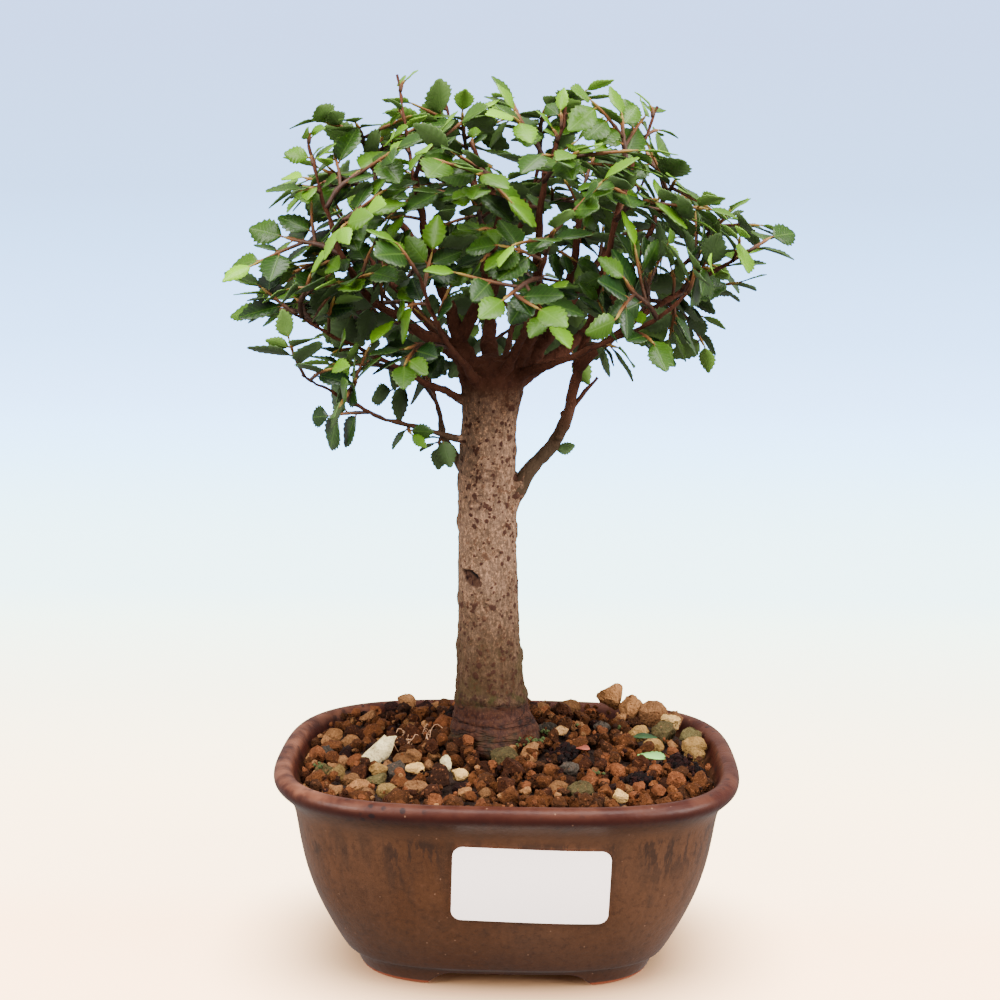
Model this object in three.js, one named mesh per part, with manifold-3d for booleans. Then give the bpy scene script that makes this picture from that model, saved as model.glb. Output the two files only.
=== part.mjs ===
// A Chinese elm bonsai in its glazed pot: pot, drainage meshes, soil, tree, leafy sprays and a blank tag.
// Millimetres, +Z up. The front of the pot faces -Y. The tree stands a little behind the pot's centre.
import * as THREE from "three";
import { mergeVertices } from "three/addons/utils/BufferGeometryUtils.js";
import Module from "manifold-3d";

const wasm = await Module();
wasm.setup();

// Driving dimensions
const GAP = 0.3; // between pieces that touch

const POT = {
  width: 152.4,
  depth: 127,
  height: 68,
  corner: 3.3, // exponent of the superelliptic plan: 2 is an oval, large is a box
  around: 34, // points in each outline
  footHeight: 4.8,
  footGapX: 23, // half the clear span between the front feet
  footGapY: 15,
  footSlope: 2.5, // how much wider the gap is at the floor
  footArch: 4, // how much narrower it closes where it meets the pot
  floorDepth: 20, // length of the cut for a drain hole, more than the floor is thick
  drainRadius: 6,
  drainX: 19,
};
// Each step is how far the wall stands in from the lip's outer edge, and its height.
const OUTER_WALL = [
  [26.0, 4.8],
  [24.2, 6.4],
  [22.4, 7.2],
  [17.4, 16.5],
  [11.2, 31.5],
  [7.6, 48],
  [6.4, 56],
  [3.2, 61.5],
  [0.2, 64.8],
  [0.6, 67],
  [2.8, 68],
];
const INNER_WALL = [
  [5.4, 67.2],
  [6.9, 64],
  [12.6, 53],
  [16.0, 34],
  [24.0, 17],
  [32.0, 9.5],
];
const MOUTH = [3.6, 68.6]; // the cut that opens the pot, carried just past its top
const FOOT_WALL = [
  [27.6, 0],
  [26.0, 4.8],
  [24.7, 6.2],
];
const FOOT_INNER = 11; // how far a foot reaches in under the pot

const SOIL = {
  edgeHeight: 61.5,
  mound: 8, // how much higher it lies at the trunk
  rings: 7,
  grain: 2.1, // how far the grains stand up
  scatter: 2.4,
};
// A leaf shed on the soil, turned about the vertical
const FALLEN = { x: 53.3, y: -3.3, turn: 2.6, length: 11, half: 3.8, droop: 0.8 };
const MESH = { side: 19, thick: 0.8, holes: 2, hole: 5 };
const TAG = { width: 48.5, height: 25.4, thick: 0.6, off: 0.5, x: 8.6, z: 41.2, corner: 3.2, turn: -1.6 };

const TRUNK = {
  sides: 14,
  // Each station is a place on the trunk's centre line and the trunk's radius there.
  stations: [
    [-5, 11, 40.5, 9],
    [-5, 11, 58, 10.5],
    [-5, 11, 66, 15.6],
    [-5.2, 11, 71, 15.0],
    [-5.8, 10.6, 79, 12.8],
    [-6.4, 10, 90, 11.6],
    [-7, 10, 108, 10.5],
    [-7.6, 10, 132, 9.9],
    [-8, 10, 156, 9.6],
    [-7.4, 10, 178, 9.3],
    [-6.4, 9.8, 190, 10.4],
    [-6.2, 9.6, 196.5, 8.6],
    [-6, 9.6, 199, 4],
  ],
  rootLobes: 0.09,
};

// Limbs as grown: the radius at the two ends, and where each passes.
const LIMBS = {
  left_lead: {
    radii: [4.2, 1.5],
    points: [
      [-10, 9, 186], [-16, 4, 200], [-19, -3, 212],
      [-24, -9, 228], [-28, -15, 243], [-30, -20, 256],
    ],
  },
  left_fork: {
    radii: [3.0, 1.3],
    points: [[-17, 0, 206], [-13, -4, 212], [-8, -11, 224], [-5, -18, 238], [-3, -24, 252]],
  },
  left_reach: {
    radii: [2.8, 1.2],
    points: [
      [-11, 8, 194], [-21, 1, 202], [-33, -6, 210],
      [-45, -14, 219], [-53, -20, 232], [-57, -24, 246],
    ],
  },
  left_low: {
    radii: [1.9, 0.9],
    points: [[-12, 8, 183], [-24, 1, 189], [-40, -10, 198], [-55, -16, 206], [-67, -20, 213]],
  },
  left_lowest: {
    radii: [1.5, 0.8],
    points: [[-13, 8, 171], [-27, -3, 175], [-43, -17, 182], [-56, -26, 190], [-64, -30, 195]],
  },
  back_left: {
    radii: [2.2, 1],
    points: [[-13, 13, 157], [-22, 25, 168], [-27, 35, 182], [-34, 46, 200], [-42, 54, 216]],
  },
  right_limb: {
    radii: [4.3, 1.3],
    points: [
      [-3, 9, 148], [4, 9, 158], [15, 6, 173], [20, 2, 189],
      [24, -3, 207], [28, -7, 224], [32, -12, 242], [35, -14, 256],
    ],
  },
  centre: {
    radii: [4.0, 1.3],
    points: [[-4, 9, 190], [4, 5, 203], [7, 0, 213], [8, -6, 230], [9, -12, 248], [10, -16, 261]],
  },
  centre_right: {
    radii: [3.6, 1.3],
    points: [[-1, 11, 192], [11, 9, 205], [17, 3, 218], [20, -4, 236], [22, -10, 254]],
  },
  right_low: {
    radii: [2.2, 0.9],
    points: [[-1, 8, 192], [14, -4, 198], [29, -17, 205], [44, -28, 213], [54, -34, 222]],
  },
  right_reach: {
    radii: [2.2, 0.9],
    points: [[21, 0, 196], [34, -4, 208], [48, -9, 218], [62, -14, 227], [73, -18, 234]],
  },
  back_lead: {
    radii: [3.6, 1.2],
    points: [[-7, 13, 192], [-8, 23, 206], [-10, 31, 226], [-12, 37, 245], [-14, 40, 258]],
  },
  back_right: {
    radii: [3.2, 1.1],
    points: [[-2, 13, 192], [10, 24, 204], [22, 35, 220], [32, 43, 236], [37, 47, 248]],
  },
  back_reach_left: {
    radii: [3.0, 1],
    points: [[-10, 13, 190], [-22, 23, 202], [-36, 31, 216], [-50, 36, 230], [-58, 38, 242]],
  },
  back_reach_right: {
    radii: [2.8, 1],
    points: [[0, 11, 190], [20, 18, 203], [38, 23, 216], [56, 25, 229], [66, 25, 240]],
  },
  back_top: { radii: [2.2, 1], points: [[-9, 27, 215], [-2, 32, 233], [5, 33, 250], [8, 31, 263]] },
  back_far: { radii: [2.4, 0.9], points: [[-6, 14, 186], [-3, 32, 199], [1, 49, 212], [4, 60, 226]] },
  front_left: {
    radii: [2.2, 0.9],
    points: [[-9, 5, 188], [-17, -13, 200], [-23, -30, 212], [-27, -44, 226]],
  },
  front_right: {
    radii: [2.2, 0.9],
    points: [[-4, 5, 192], [3, -12, 205], [8, -28, 221], [11, -41, 236]],
  },
  left_top: {
    radii: [1.9, 0.9],
    points: [[-23, -8, 227], [-36, 0, 242], [-44, 8, 254], [-48, 12, 264]],
  },
  right_top: { radii: [2.0, 0.9], points: [[23, -3, 207], [36, 4, 224], [45, 10, 241], [49, 13, 254]] },
};
// Thin ends that were pruned bare and stand out of the leaves
const STUBS = {
  left_stick: { radii: [1.1, 0.8], points: [[-29, -16, 246], [-33, -10, 266], [-37, -3, 288]] },
  front_stick: { radii: [1.3, 1.0], points: [[-4, -21, 246], [-8, -26, 256], [-13, -30, 266]] },
  right_stick: { radii: [1.1, 0.8], points: [[34, -13, 250], [39, -8, 264], [45, -2, 279]] },
  far_left_stick: { radii: [1.0, 0.75], points: [[-54, -21, 235], [-60, -17, 252], [-65, -11, 270]] },
  centre_stick: { radii: [1.2, 0.9], points: [[10, -15, 257], [14, -13, 268], [16, -10, 278]] },
  back_stick: { radii: [1.1, 0.8], points: [[-14, 39, 254], [-20, 36, 270], [-24, 33, 283]] },
  back_right_stick: { radii: [1.0, 0.75], points: [[36, 46, 244], [43, 42, 256], [47, 37, 268]] },
  low_stub: { radii: [1.5, 1.3], points: [[17, 5, 180], [23, 3, 187], [28, 2, 193]] },
};
const WOOD = [...Object.values(LIMBS), ...Object.values(STUBS)];

const CROWN = {
  centre: [-2, 5, 226],
  reach: [72, 62, 58], // half width, half depth and height above the centre
  drop: 38, // how far it hangs below the centre
  sprays: 46,
  lowest: 118, // degrees from straight up
  frontOpen: 34, // half width of the open place low at the front, where the limbs show
};
// Sprays that end away from the crown's dome: the low ones, and some that fill it inside.
const OTHER_SPRAYS = [
  [-47, -35, 195],
  [-64, -31, 196],
  [-75, -20, 213],
  [-50, 54, 210],
  [44, -32, 215],
  [76, -22, 236],
  [-62, -24, 226],
  [-33, -24, 203],
  [-50, -6, 198],
  [-62, 2, 259],
  [-18, -36, 250],
  [-66, 10, 232],
  [20, -44, 240],
  [-40, -12, 232],
  [-50, -5, 273],
  [-35, 3, 282],
  [44, -8, 228],
  [14, -30, 224],
  [-14, 12, 250],
  [22, 20, 252],
  [-34, 22, 196],
  [36, -4, 272],
];
const SHOOT = {
  base: 0.85, // half width of a stem where it leaves its limb
  tip: 0.5,
  twig: 0.6,
  twigTip: 0.4,
  pace: 3.7, // from one leaf to the next along a shoot
  every: 3, // of the places along a shoot, the share that holds a leaf here: one in three
  apart: 5, // between the roots of two sprays
  apartFromWood: 1.9, // what a stem's centre line keeps from wood it doesn't grow from
  bareFoot: 7, // near its root a stem may touch its limb
  cut: 0.3, // a stem is cut back by such steps until it stands clear of its limb
  firstTwig: 0.4, // the share of a stem below its first twig
  lastTwig: 0.85,
  manyTwigs: 24, // a stem longer than this has three twigs, others two
  twigLength: [13, 21],
};
// Which limb a spray grows from: the nearest that leads its way, and not a very short or hanging spray.
const ROOTING = { inner: 9, steps: 30, lead: 0.5, short: 15, shortCost: 40, hang: 6, hangCost: 8 };
const TRIES = { stem: 8, twig: 6, leaf: 8 };
// A leaf's foot is how wide it joins its shoot, and clear is what it keeps from its neighbours.
const LEAF = {
  length: 13.2,
  width: 9.2,
  scale: [0.76, 1.16], // from the smallest leaf to the largest
  droop: [0.3, 1.4], // how far its tip bends down
  thick: 0.6,
  foot: 1.3,
  clear: 1.0,
};

const SEEDS = { soil: 41, crown: 7, sprays: 100 };

const COLOURS = {
  glaze: 0x5d4033,
  soil: 0x6b3a20,
  plastic: 0x1c1d1f,
  bark: 0x8b7563,
  leaf: 0x3f6a2a,
  shed: 0x8fb08a,
  paper: 0xf0eae8,
};

// Chance: the same seed always draws the same numbers.
const DRAWS = 2147483647; // a prime, and so the length of a series
const DRAW_STEP = 16807;
function chance(seed) {
  let state = (seed * 7919 + 104729) % DRAWS;
  return () => {
    state = (state * DRAW_STEP) % DRAWS;
    return state / DRAWS;
  };
}

// Vectors as plain triples, for the rules of growth
const add = (a, b) => [a[0] + b[0], a[1] + b[1], a[2] + b[2]];
const sub = (a, b) => [a[0] - b[0], a[1] - b[1], a[2] - b[2]];
const mul = (a, k) => [a[0] * k, a[1] * k, a[2] * k];
const dot = (a, b) => a[0] * b[0] + a[1] * b[1] + a[2] * b[2];
const cross = (a, b) => [
  a[1] * b[2] - a[2] * b[1],
  a[2] * b[0] - a[0] * b[2],
  a[0] * b[1] - a[1] * b[0],
];
const size = (a) => Math.sqrt(dot(a, a));
const unit = (a) => mul(a, 1 / size(a));
const blend = (a, b, t) => add(mul(a, 1 - t), mul(b, t));

// A point on the smooth curve through the points, with t from 0 to 1.
function along(points, t) {
  const last = points.length - 1;
  const place = Math.min(Math.max(t, 0), 1) * last;
  const i = Math.min(Math.floor(place), last - 1);
  const w = place - i;
  const before = i > 0 ? points[i - 1] : sub(mul(points[0], 2), points[1]);
  const after = i + 2 <= last ? points[i + 2] : sub(mul(points[last], 2), points[last - 1]);
  return [0, 1, 2].map((k) => {
    const from = points[i][k];
    const to = points[i + 1][k];
    const leave = 0.5 * (to - before[k]);
    const arrive = 0.5 * (after[k] - from);
    return (
      from + leave * w + (3 * (to - from) - 2 * leave - arrive) * w * w
      + (leave + arrive - 2 * (to - from)) * w * w * w
    );
  });
}

const heading = (points, t) =>
  unit(sub(along(points, Math.min(t + 0.02, 1)), along(points, Math.max(t - 0.02, 0))));

// Solids

function solid(geometry) {
  const bare = geometry.clone();
  bare.deleteAttribute("normal");
  bare.deleteAttribute("uv");
  const merged = mergeVertices(bare, 1e-4);
  return new wasm.Manifold(
    new wasm.Mesh({
      numProp: 3,
      vertProperties: merged.attributes.position.array,
      triVerts: new Uint32Array(merged.index.array),
    }),
  );
}

function geometryOf(manifold) {
  const mesh = manifold.getMesh();
  const geometry = new THREE.BufferGeometry();
  geometry.setAttribute("position", new THREE.BufferAttribute(mesh.vertProperties, 3));
  geometry.setIndex(new THREE.BufferAttribute(mesh.triVerts, 1));
  return geometry;
}

// A closed skin over rings of points, each ring anticlockwise seen from above, from the lowest ring up.
// From the ring "studded" on, each cell of the skin rises to a point of its own, as a grain.
function loft(rings, studded = rings.length, stud = null) {
  const n = rings[0].length;
  const positions = rings.flat().flat();
  const faces = [];
  const ends = [rings[0], rings[rings.length - 1]];
  ends.forEach((ring) => {
    positions.push(...mul(ring.reduce(add), 1 / n));
  });
  const bottom = rings.length * n;
  for (let i = 0; i < n; i++) {
    const j = (i + 1) % n;
    faces.push(bottom, j, i);
    faces.push(bottom + 1, (rings.length - 1) * n + i, (rings.length - 1) * n + j);
    for (let k = 0; k + 1 < rings.length; k++) {
      const a = k * n + i;
      const b = k * n + j;
      if (k < studded) {
        faces.push(a, b, b + n, a, b + n, a + n);
        continue;
      }
      const top = positions.length / 3;
      const cell = [rings[k][i], rings[k][j], rings[k + 1][j], rings[k + 1][i]];
      positions.push(...stud(mul(cell.reduce(add), 1 / 4)));
      faces.push(a, b, top, b, b + n, top, b + n, a + n, top, a + n, a, top);
    }
  }
  const geometry = new THREE.BufferGeometry();
  geometry.setAttribute("position", new THREE.Float32BufferAttribute(positions, 3));
  geometry.setIndex(faces);
  return solid(geometry);
}

// A tapering tube along a curve: a cylinder whose rings are carried to the curve.
function tube(points, r0, r1, sides, steps, grow = 0) {
  const cylinder = new THREE.CylinderGeometry(1, 1, 1, sides, steps);
  const at = cylinder.attributes.position;
  let across = unit(cross(heading(points, 0), [0.31, 0.9, 0.27]));
  const frames = [];
  for (let k = 0; k <= steps; k++) {
    const ahead = heading(points, k / steps);
    across = unit(sub(across, mul(ahead, dot(across, ahead))));
    frames.push([across, cross(ahead, across)]);
  }
  for (let i = 0; i < at.count; i++) {
    const t = at.getY(i) + 0.5;
    const [u, v] = frames[Math.round(t * steps)];
    const r = r0 + (r1 - r0) * t + grow;
    let p = add(along(points, t), add(mul(u, at.getZ(i) * r), mul(v, at.getX(i) * r)));
    if (t < 0.5 / steps) p = sub(p, mul(heading(points, 0), grow));
    if (t > 1 - 0.5 / steps) p = add(p, mul(heading(points, 1), grow));
    at.setXYZ(i, ...p);
  }
  return solid(cylinder);
}

const joined = (solids) => solids.reduce((all, one) => all.add(one));

function largest(manifold) {
  const bodies = manifold.decompose();
  return bodies.reduce((a, b) => (b.volume() > a.volume() ? b : a));
}

const part = new THREE.Group();
function piece(name, manifold, colour, roughness) {
  const material = new THREE.MeshStandardMaterial({ color: colour, roughness, metalness: 0 });
  const mesh = new THREE.Mesh(geometryOf(manifold), material);
  mesh.name = name;
  part.add(mesh);
}

// The pot

// The plan of the pot, a given distance in from the lip's outer edge.
function plan(inset) {
  const a = POT.width / 2 - inset;
  const b = POT.depth / 2 - inset;
  const n = POT.corner;
  return Array.from({ length: POT.around }, (_, i) => {
    const turn = (2 * Math.PI * i) / POT.around;
    const c = Math.cos(turn);
    const s = Math.sin(turn);
    const r = (Math.abs(c / a) ** n + Math.abs(s / b) ** n) ** (-1 / n);
    return [r * c, r * s];
  });
}
const ring = (inset, z) => plan(inset).map(([x, y]) => [x, y, z]);

// How far in the wall stands at a height.
function insetAt(wall, z) {
  const k = wall.findIndex(([, height], i) => i + 1 < wall.length && z <= wall[i + 1][1]);
  const [a, b] = [wall[k], wall[k + 1]];
  return a[0] + ((b[0] - a[0]) * (z - a[1])) / (b[1] - a[1]);
}

// A gap between two feet: wide at the floor and narrower where it meets the pot.
function footGap(halfX, halfY) {
  const top = POT.footHeight;
  const slope = POT.footSlope;
  const corners = (grow, z) =>
    [[-1, -1], [1, -1], [1, 1], [-1, 1]].map(([x, y]) => [
      x * (halfX + (halfX < halfY ? grow : 0)),
      y * (halfY + (halfX < halfY ? 0 : grow)),
      z,
    ]);
  const arch = corners(-POT.footArch, top + 0.01);
  return loft([corners(slope, -1), corners(slope, 0), corners(0, top), arch]);
}

function makePot() {
  const body = loft(OUTER_WALL.map(([inset, z]) => ring(inset, z)));
  const hollow = loft([...INNER_WALL].reverse().map(([inset, z]) => ring(inset, z)));
  const mouth = loft([ring(INNER_WALL[0][0], INNER_WALL[0][1]), ring(MOUTH[0], MOUTH[1])]);
  let feet = loft(FOOT_WALL.map(([inset, z]) => ring(inset, z)));
  feet = feet.subtract(
    loft([ring(FOOT_WALL[0][0] + FOOT_INNER, -1), ring(FOOT_WALL[0][0] + FOOT_INNER, POT.footHeight)]),
  );
  feet = feet.subtract(footGap(POT.footGapX, POT.depth)).subtract(footGap(POT.width, POT.footGapY));
  let pot = body.subtract(hollow.add(mouth)).add(feet);
  for (const side of [-1, 1]) {
    const hole = new THREE.CylinderGeometry(POT.drainRadius, POT.drainRadius, POT.floorDepth, 16);
    hole.rotateX(Math.PI / 2).translate(side * POT.drainX, 0, POT.footHeight);
    pot = pot.subtract(solid(hole));
  }
  return pot;
}

// A square of plastic net over each drain hole
function makeMesh(side) {
  const floor = INNER_WALL[INNER_WALL.length - 1][1];
  const box = (w, h, x, y, z) =>
    solid(new THREE.BoxGeometry(w, w, h).translate(x + side * POT.drainX, y, z));
  const middle = floor + GAP + MESH.thick / 2;
  let net = box(MESH.side, MESH.thick, 0, 0, middle);
  const pitch = MESH.side / (MESH.holes + 0.6);
  for (let i = 0; i < MESH.holes; i++)
    for (let j = 0; j < MESH.holes; j++) {
      const x = (i - (MESH.holes - 1) / 2) * pitch;
      const y = (j - (MESH.holes - 1) / 2) * pitch;
      net = net.subtract(box(MESH.hole, 4, x, y, middle));
    }
  const room = box(MESH.side + 2 * GAP, MESH.thick + 2 * GAP + 0.2, 0, 0, middle);
  return { net, room };
}

// The soil: grains heaped to the trunk, as a raised surface of peaks and hollows
function soilHeight(x, y) {
  const [tx, ty] = TRUNK.stations[0];
  const d = Math.hypot((x - tx) / 62, (y - ty) / 50);
  return SOIL.edgeHeight + SOIL.mound * Math.exp(-2.2 * d * d);
}

function makeSoil(rooms) {
  const draw = chance(SEEDS.soil);
  const wall = [...INNER_WALL].reverse();
  const sides = [
    ring(wall[0][0] + GAP + 0.1, wall[0][1] + GAP),
    ring(wall[2][0] + GAP + 0.1, wall[2][1]),
    ring(wall[3][0] + GAP + 0.1, wall[3][1]),
    ring(insetAt(wall, SOIL.edgeHeight) + GAP + 0.1, SOIL.edgeHeight),
  ];
  const [tx, ty] = TRUNK.stations[0];
  const edge = sides[sides.length - 1];
  const tops = Array.from({ length: SOIL.rings }, (_, k) => {
    const t = (k + 1) / (SOIL.rings + 0.7);
    return edge.map(([x, y], i) => {
      // Every other ring is turned by half a cell, so that the grains lie like bricks.
      const next = edge[(i + 1) % edge.length];
      const [ex, ey] = k % 2 ? [x, y] : [(x + next[0]) / 2, (y + next[1]) / 2];
      const px = ex + (tx - ex) * t + (draw() - 0.5) * SOIL.scatter * (1 - t);
      const py = ey + (ty - ey) * t + (draw() - 0.5) * SOIL.scatter * (1 - t);
      return [px, py, soilHeight(px, py) - 0.4 * SOIL.grain * draw()];
    });
  });
  const grain = ([x, y]) => [x, y, soilHeight(x, y) + SOIL.grain * (0.7 + 0.6 * draw())];
  let soil = loft([...sides, ...tops], sides.length, grain);
  soil = soil.subtract(trunkSolid(GAP));
  rooms.forEach((room) => {
    soil = soil.subtract(room);
  });
  return largest(soil);
}

// The tree's wood

function trunkSolid(grow) {
  const rings = TRUNK.stations.map(([x, y, z, r], k) =>
    Array.from({ length: TRUNK.sides }, (_, i) => {
      const turn = (2 * Math.PI * i) / TRUNK.sides;
      const flare = k > 1 && k < 6 ? TRUNK.rootLobes * (1 - Math.abs(k - 3) / 3) : 0;
      const knob = 0.035 * Math.sin(3.1 * k + 2 * turn) + flare * Math.sin(4 * turn + 0.8);
      const reach = r * (1 + knob) + grow;
      return [x + reach * Math.cos(turn), y + reach * Math.sin(turn), z - (k ? 0 : grow)];
    }),
  );
  return loft(rings);
}

function woodSolid(grow) {
  const limbs = WOOD.map(({ points, radii }) => {
    const span = size(sub(points[points.length - 1], points[0]));
    return tube(points, ...radii, 5, Math.max(2, Math.round(span / 14)), grow);
  });
  return joined([trunkSolid(grow), ...limbs]);
}

// Growth: what a spray must keep clear of. Shoots are kept as short rods, leaves as thin slabs.

const rods = [];
const blades = [];
const roots = [];

function layRods(points, r0, r1, owner, steps) {
  for (let k = 0; k < steps; k++) {
    const [t0, t1] = [k / steps, (k + 1) / steps];
    rods.push({ a: along(points, t0), b: along(points, t1), r: r0 + (r1 - r0) * t0, owner });
  }
}

function rodGap(p, rod) {
  const ab = sub(rod.b, rod.a);
  const t = Math.min(Math.max(dot(sub(p, rod.a), ab) / dot(ab, ab), 0), 1);
  return size(sub(p, add(rod.a, mul(ab, t)))) - rod.r;
}

// How wide a leaf is at u along it, as a share of its half width.
const breadth = (u) => Math.sin(Math.PI * Math.min(Math.max(u, 0), 1) ** 0.85) ** 0.75;

// A point on a leaf: u along it, v across it as a share of its half width, and w above it in mm.
const onLeaf = (leaf, u, v, w) =>
  add(
    add(leaf.root, mul(leaf.axis, u * leaf.length)),
    add(mul(leaf.side, v * leaf.half), mul(leaf.up, w - leaf.droop * u * u)),
  );

// Points all over a leaf, from its foot to its tip
const ACROSS = [-0.9, -0.45, 0, 0.45, 0.9];
const bladePoints = (leaf) =>
  [0.2, 0.32, 0.44, 0.56, 0.68, 0.8, 0.92, 1].flatMap((u) =>
    ACROSS.map((v) => onLeaf(leaf, u, v * breadth(u), 0)),
  );

function inBlade(p, leaf, clear) {
  const q = sub(p, leaf.root);
  const x = dot(q, leaf.axis);
  if (x < 0 || x > leaf.length + clear) return false;
  const u = x / leaf.length;
  const wide = leaf.half * breadth(Math.min(Math.max(u, 0.25), 0.8));
  if (Math.abs(dot(q, leaf.side)) > wide + clear) return false;
  return Math.abs(dot(q, leaf.up) + leaf.droop * u * u) < LEAF.thick + clear;
}

function bladeFits(leaf, owner) {
  const mine = bladePoints(leaf);
  const middle = onLeaf(leaf, 0.5, 0, 0);
  for (const rod of rods) {
    if (rodGap(middle, rod) > leaf.length) continue;
    // Its own shoots may lie beside its foot.
    const tested = rod.owner === owner ? mine.slice(2 * ACROSS.length) : mine;
    if (tested.some((p) => rodGap(p, rod) < LEAF.clear)) return false;
  }
  for (const other of blades) {
    if (size(sub(other.root, leaf.root)) > leaf.length + other.length + 3) continue;
    if (mine.some((p) => inBlade(p, other, LEAF.clear))) return false;
    if (bladePoints(other).some((p) => inBlade(p, leaf, LEAF.clear))) return false;
  }
  return true;
}

// The place on the limbs that a spray with this tip grows from, apart from the other sprays' roots
function limbFor(tip) {
  let best = null;
  Object.values(LIMBS).forEach(({ points }) => {
    for (let k = ROOTING.inner; k <= ROOTING.steps; k++) {
      const t = k / ROOTING.steps;
      const at = along(points, t);
      if (roots.some((root) => size(sub(root, at)) < SHOOT.apart)) continue;
      const away = sub(tip, at);
      const far = size(away);
      const lead = dot(unit(away), heading(points, t));
      let cost = far * (1 + ROOTING.lead * (1 - lead));
      if (far < ROOTING.short) cost += ROOTING.shortCost;
      if (away[2] < -ROOTING.hang) cost += ROOTING.hangCost;
      if (!best || cost < best.cost) best = { cost, at, ahead: heading(points, t) };
    }
  });
  return best;
}

function sprayTips() {
  const draw = chance(SEEDS.crown);
  const golden = Math.PI * (3 - Math.sqrt(5));
  const low = Math.cos((CROWN.lowest * Math.PI) / 180);
  const tips = [];
  for (let i = 0; i < CROWN.sprays; i++) {
    const up = 1 - ((i + 0.5) / CROWN.sprays) * (1 - low);
    const out = Math.sqrt(1 - up * up);
    const turn = i * golden;
    const reach = 0.9 + 0.14 * draw();
    const rise = up > 0 ? CROWN.reach[2] : CROWN.drop;
    const tip = [
      CROWN.centre[0] + CROWN.reach[0] * out * Math.cos(turn) * reach,
      CROWN.centre[1] + CROWN.reach[1] * out * Math.sin(turn) * reach,
      CROWN.centre[2] + rise * up * reach,
    ];
    const open = tip[1] < 0 && tip[2] < 216 && Math.abs(tip[0] - CROWN.centre[0]) < CROWN.frontOpen;
    if (!open) tips.push(tip);
  }
  return [...tips, ...OTHER_SPRAYS];
}

// Whether a shoot passes the rods. Near its root it may touch what it grows from: its owner's rods.
function clearOfRods(points, owner, near, clear) {
  for (let k = 1; k <= 24; k++) {
    const p = along(points, k / 24);
    const rooted = size(sub(p, points[0])) < near;
    if (rods.some((rod) => !(rooted && rod.owner === owner) && rodGap(p, rod) < clear)) return false;
  }
  return true;
}

// The direction that a shoot's leaves face: away from the shoot, up and out of the crown
const facing = (shoot, t) => {
  const ahead = heading(shoot.points, t);
  return unit(sub(shoot.face, mul(ahead, dot(shoot.face, ahead))));
};

// A shoot whose leaves face as near to the wished direction as they can across it
function makeShoot(points, radii, wish) {
  const span = sub(points[points.length - 1], points[0]);
  const ahead = unit(span);
  const face = unit(sub(wish, mul(ahead, dot(wish, ahead))));
  return { points, radii, face, buds: [], length: size(span) };
}

// One leafy shoot, from its limb to its tip
function growStem(tip, number) {
  const draw = chance(SEEDS.sprays + number);
  const from = limbFor(tip);
  const span = sub(tip, from.at);
  const far = size(span);
  for (let tries = 0; tries < TRIES.stem; tries++) {
    const bend = mul([draw() - 0.5, draw() - 0.5, draw() - 0.5], 0.07 * far);
    const third = add(add(from.at, mul(span, 0.33)), add(mul(from.ahead, 0.08 * far), bend));
    const twoThirds = add(add(from.at, mul(span, 0.68)), add([0, 0, 0.03 * far], bend));
    const points = [from.at, third, twoThirds, tip];
    if (clearOfRods(points, 0, SHOOT.bareFoot, SHOOT.apartFromWood)) {
      roots.push(from.at);
      const out = unit(sub(along(points, 0.5), CROWN.centre));
      const sway = [draw() - 0.5, draw() - 0.5, draw() - 0.5];
      const wish = add(add([0, 0, 0.85], mul(out, 0.7)), mul(sway, 0.9));
      const stem = makeShoot(points, [SHOOT.base, SHOOT.tip], wish);
      return { number, draw, leaves: [], shoots: [stem] };
    }
  }
  return null;
}

function growTwigs(spray) {
  const { draw, number } = spray;
  const [stem] = spray.shoots;
  const count = stem.length > SHOOT.manyTwigs ? 3 : 2;
  const [short, long] = SHOOT.twigLength;
  for (let k = 0; k < count; k++) {
    const t = SHOOT.firstTwig + ((SHOOT.lastTwig - SHOOT.firstTwig) * k) / count + 0.05 * draw();
    const hand = (k + number) % 2 ? 1 : -1;
    const ahead = heading(stem.points, t);
    const up = facing(stem, t);
    const left = cross(up, ahead);
    const root = add(along(stem.points, t), mul(left, hand * SHOOT.tip));
    for (let tries = 0; tries < TRIES.twig; tries++) {
      const lift = mul(up, 0.5 * (draw() - 0.4));
      const out = unit(add(add(mul(ahead, 0.6), mul(left, hand * (0.7 + 0.4 * draw()))), lift));
      const reach = short + (long - short) * draw();
      const end = add(root, mul(out, reach));
      const points = [root, add(blend(root, end, 0.5), mul(ahead, 0.03 * reach)), end];
      if (clearOfRods(points, number, 4, 1.7)) {
        const sway = [draw() - 0.5, draw() - 0.5, draw() - 0.5];
        const twig = makeShoot(points, [SHOOT.twig, SHOOT.twigTip], add(up, mul(sway, 0.6)));
        stem.buds.push({ t, hand, twig });
        spray.shoots.push(twig);
        layRods(points, ...twig.radii, number, 3);
        break;
      }
    }
  }
}

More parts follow.
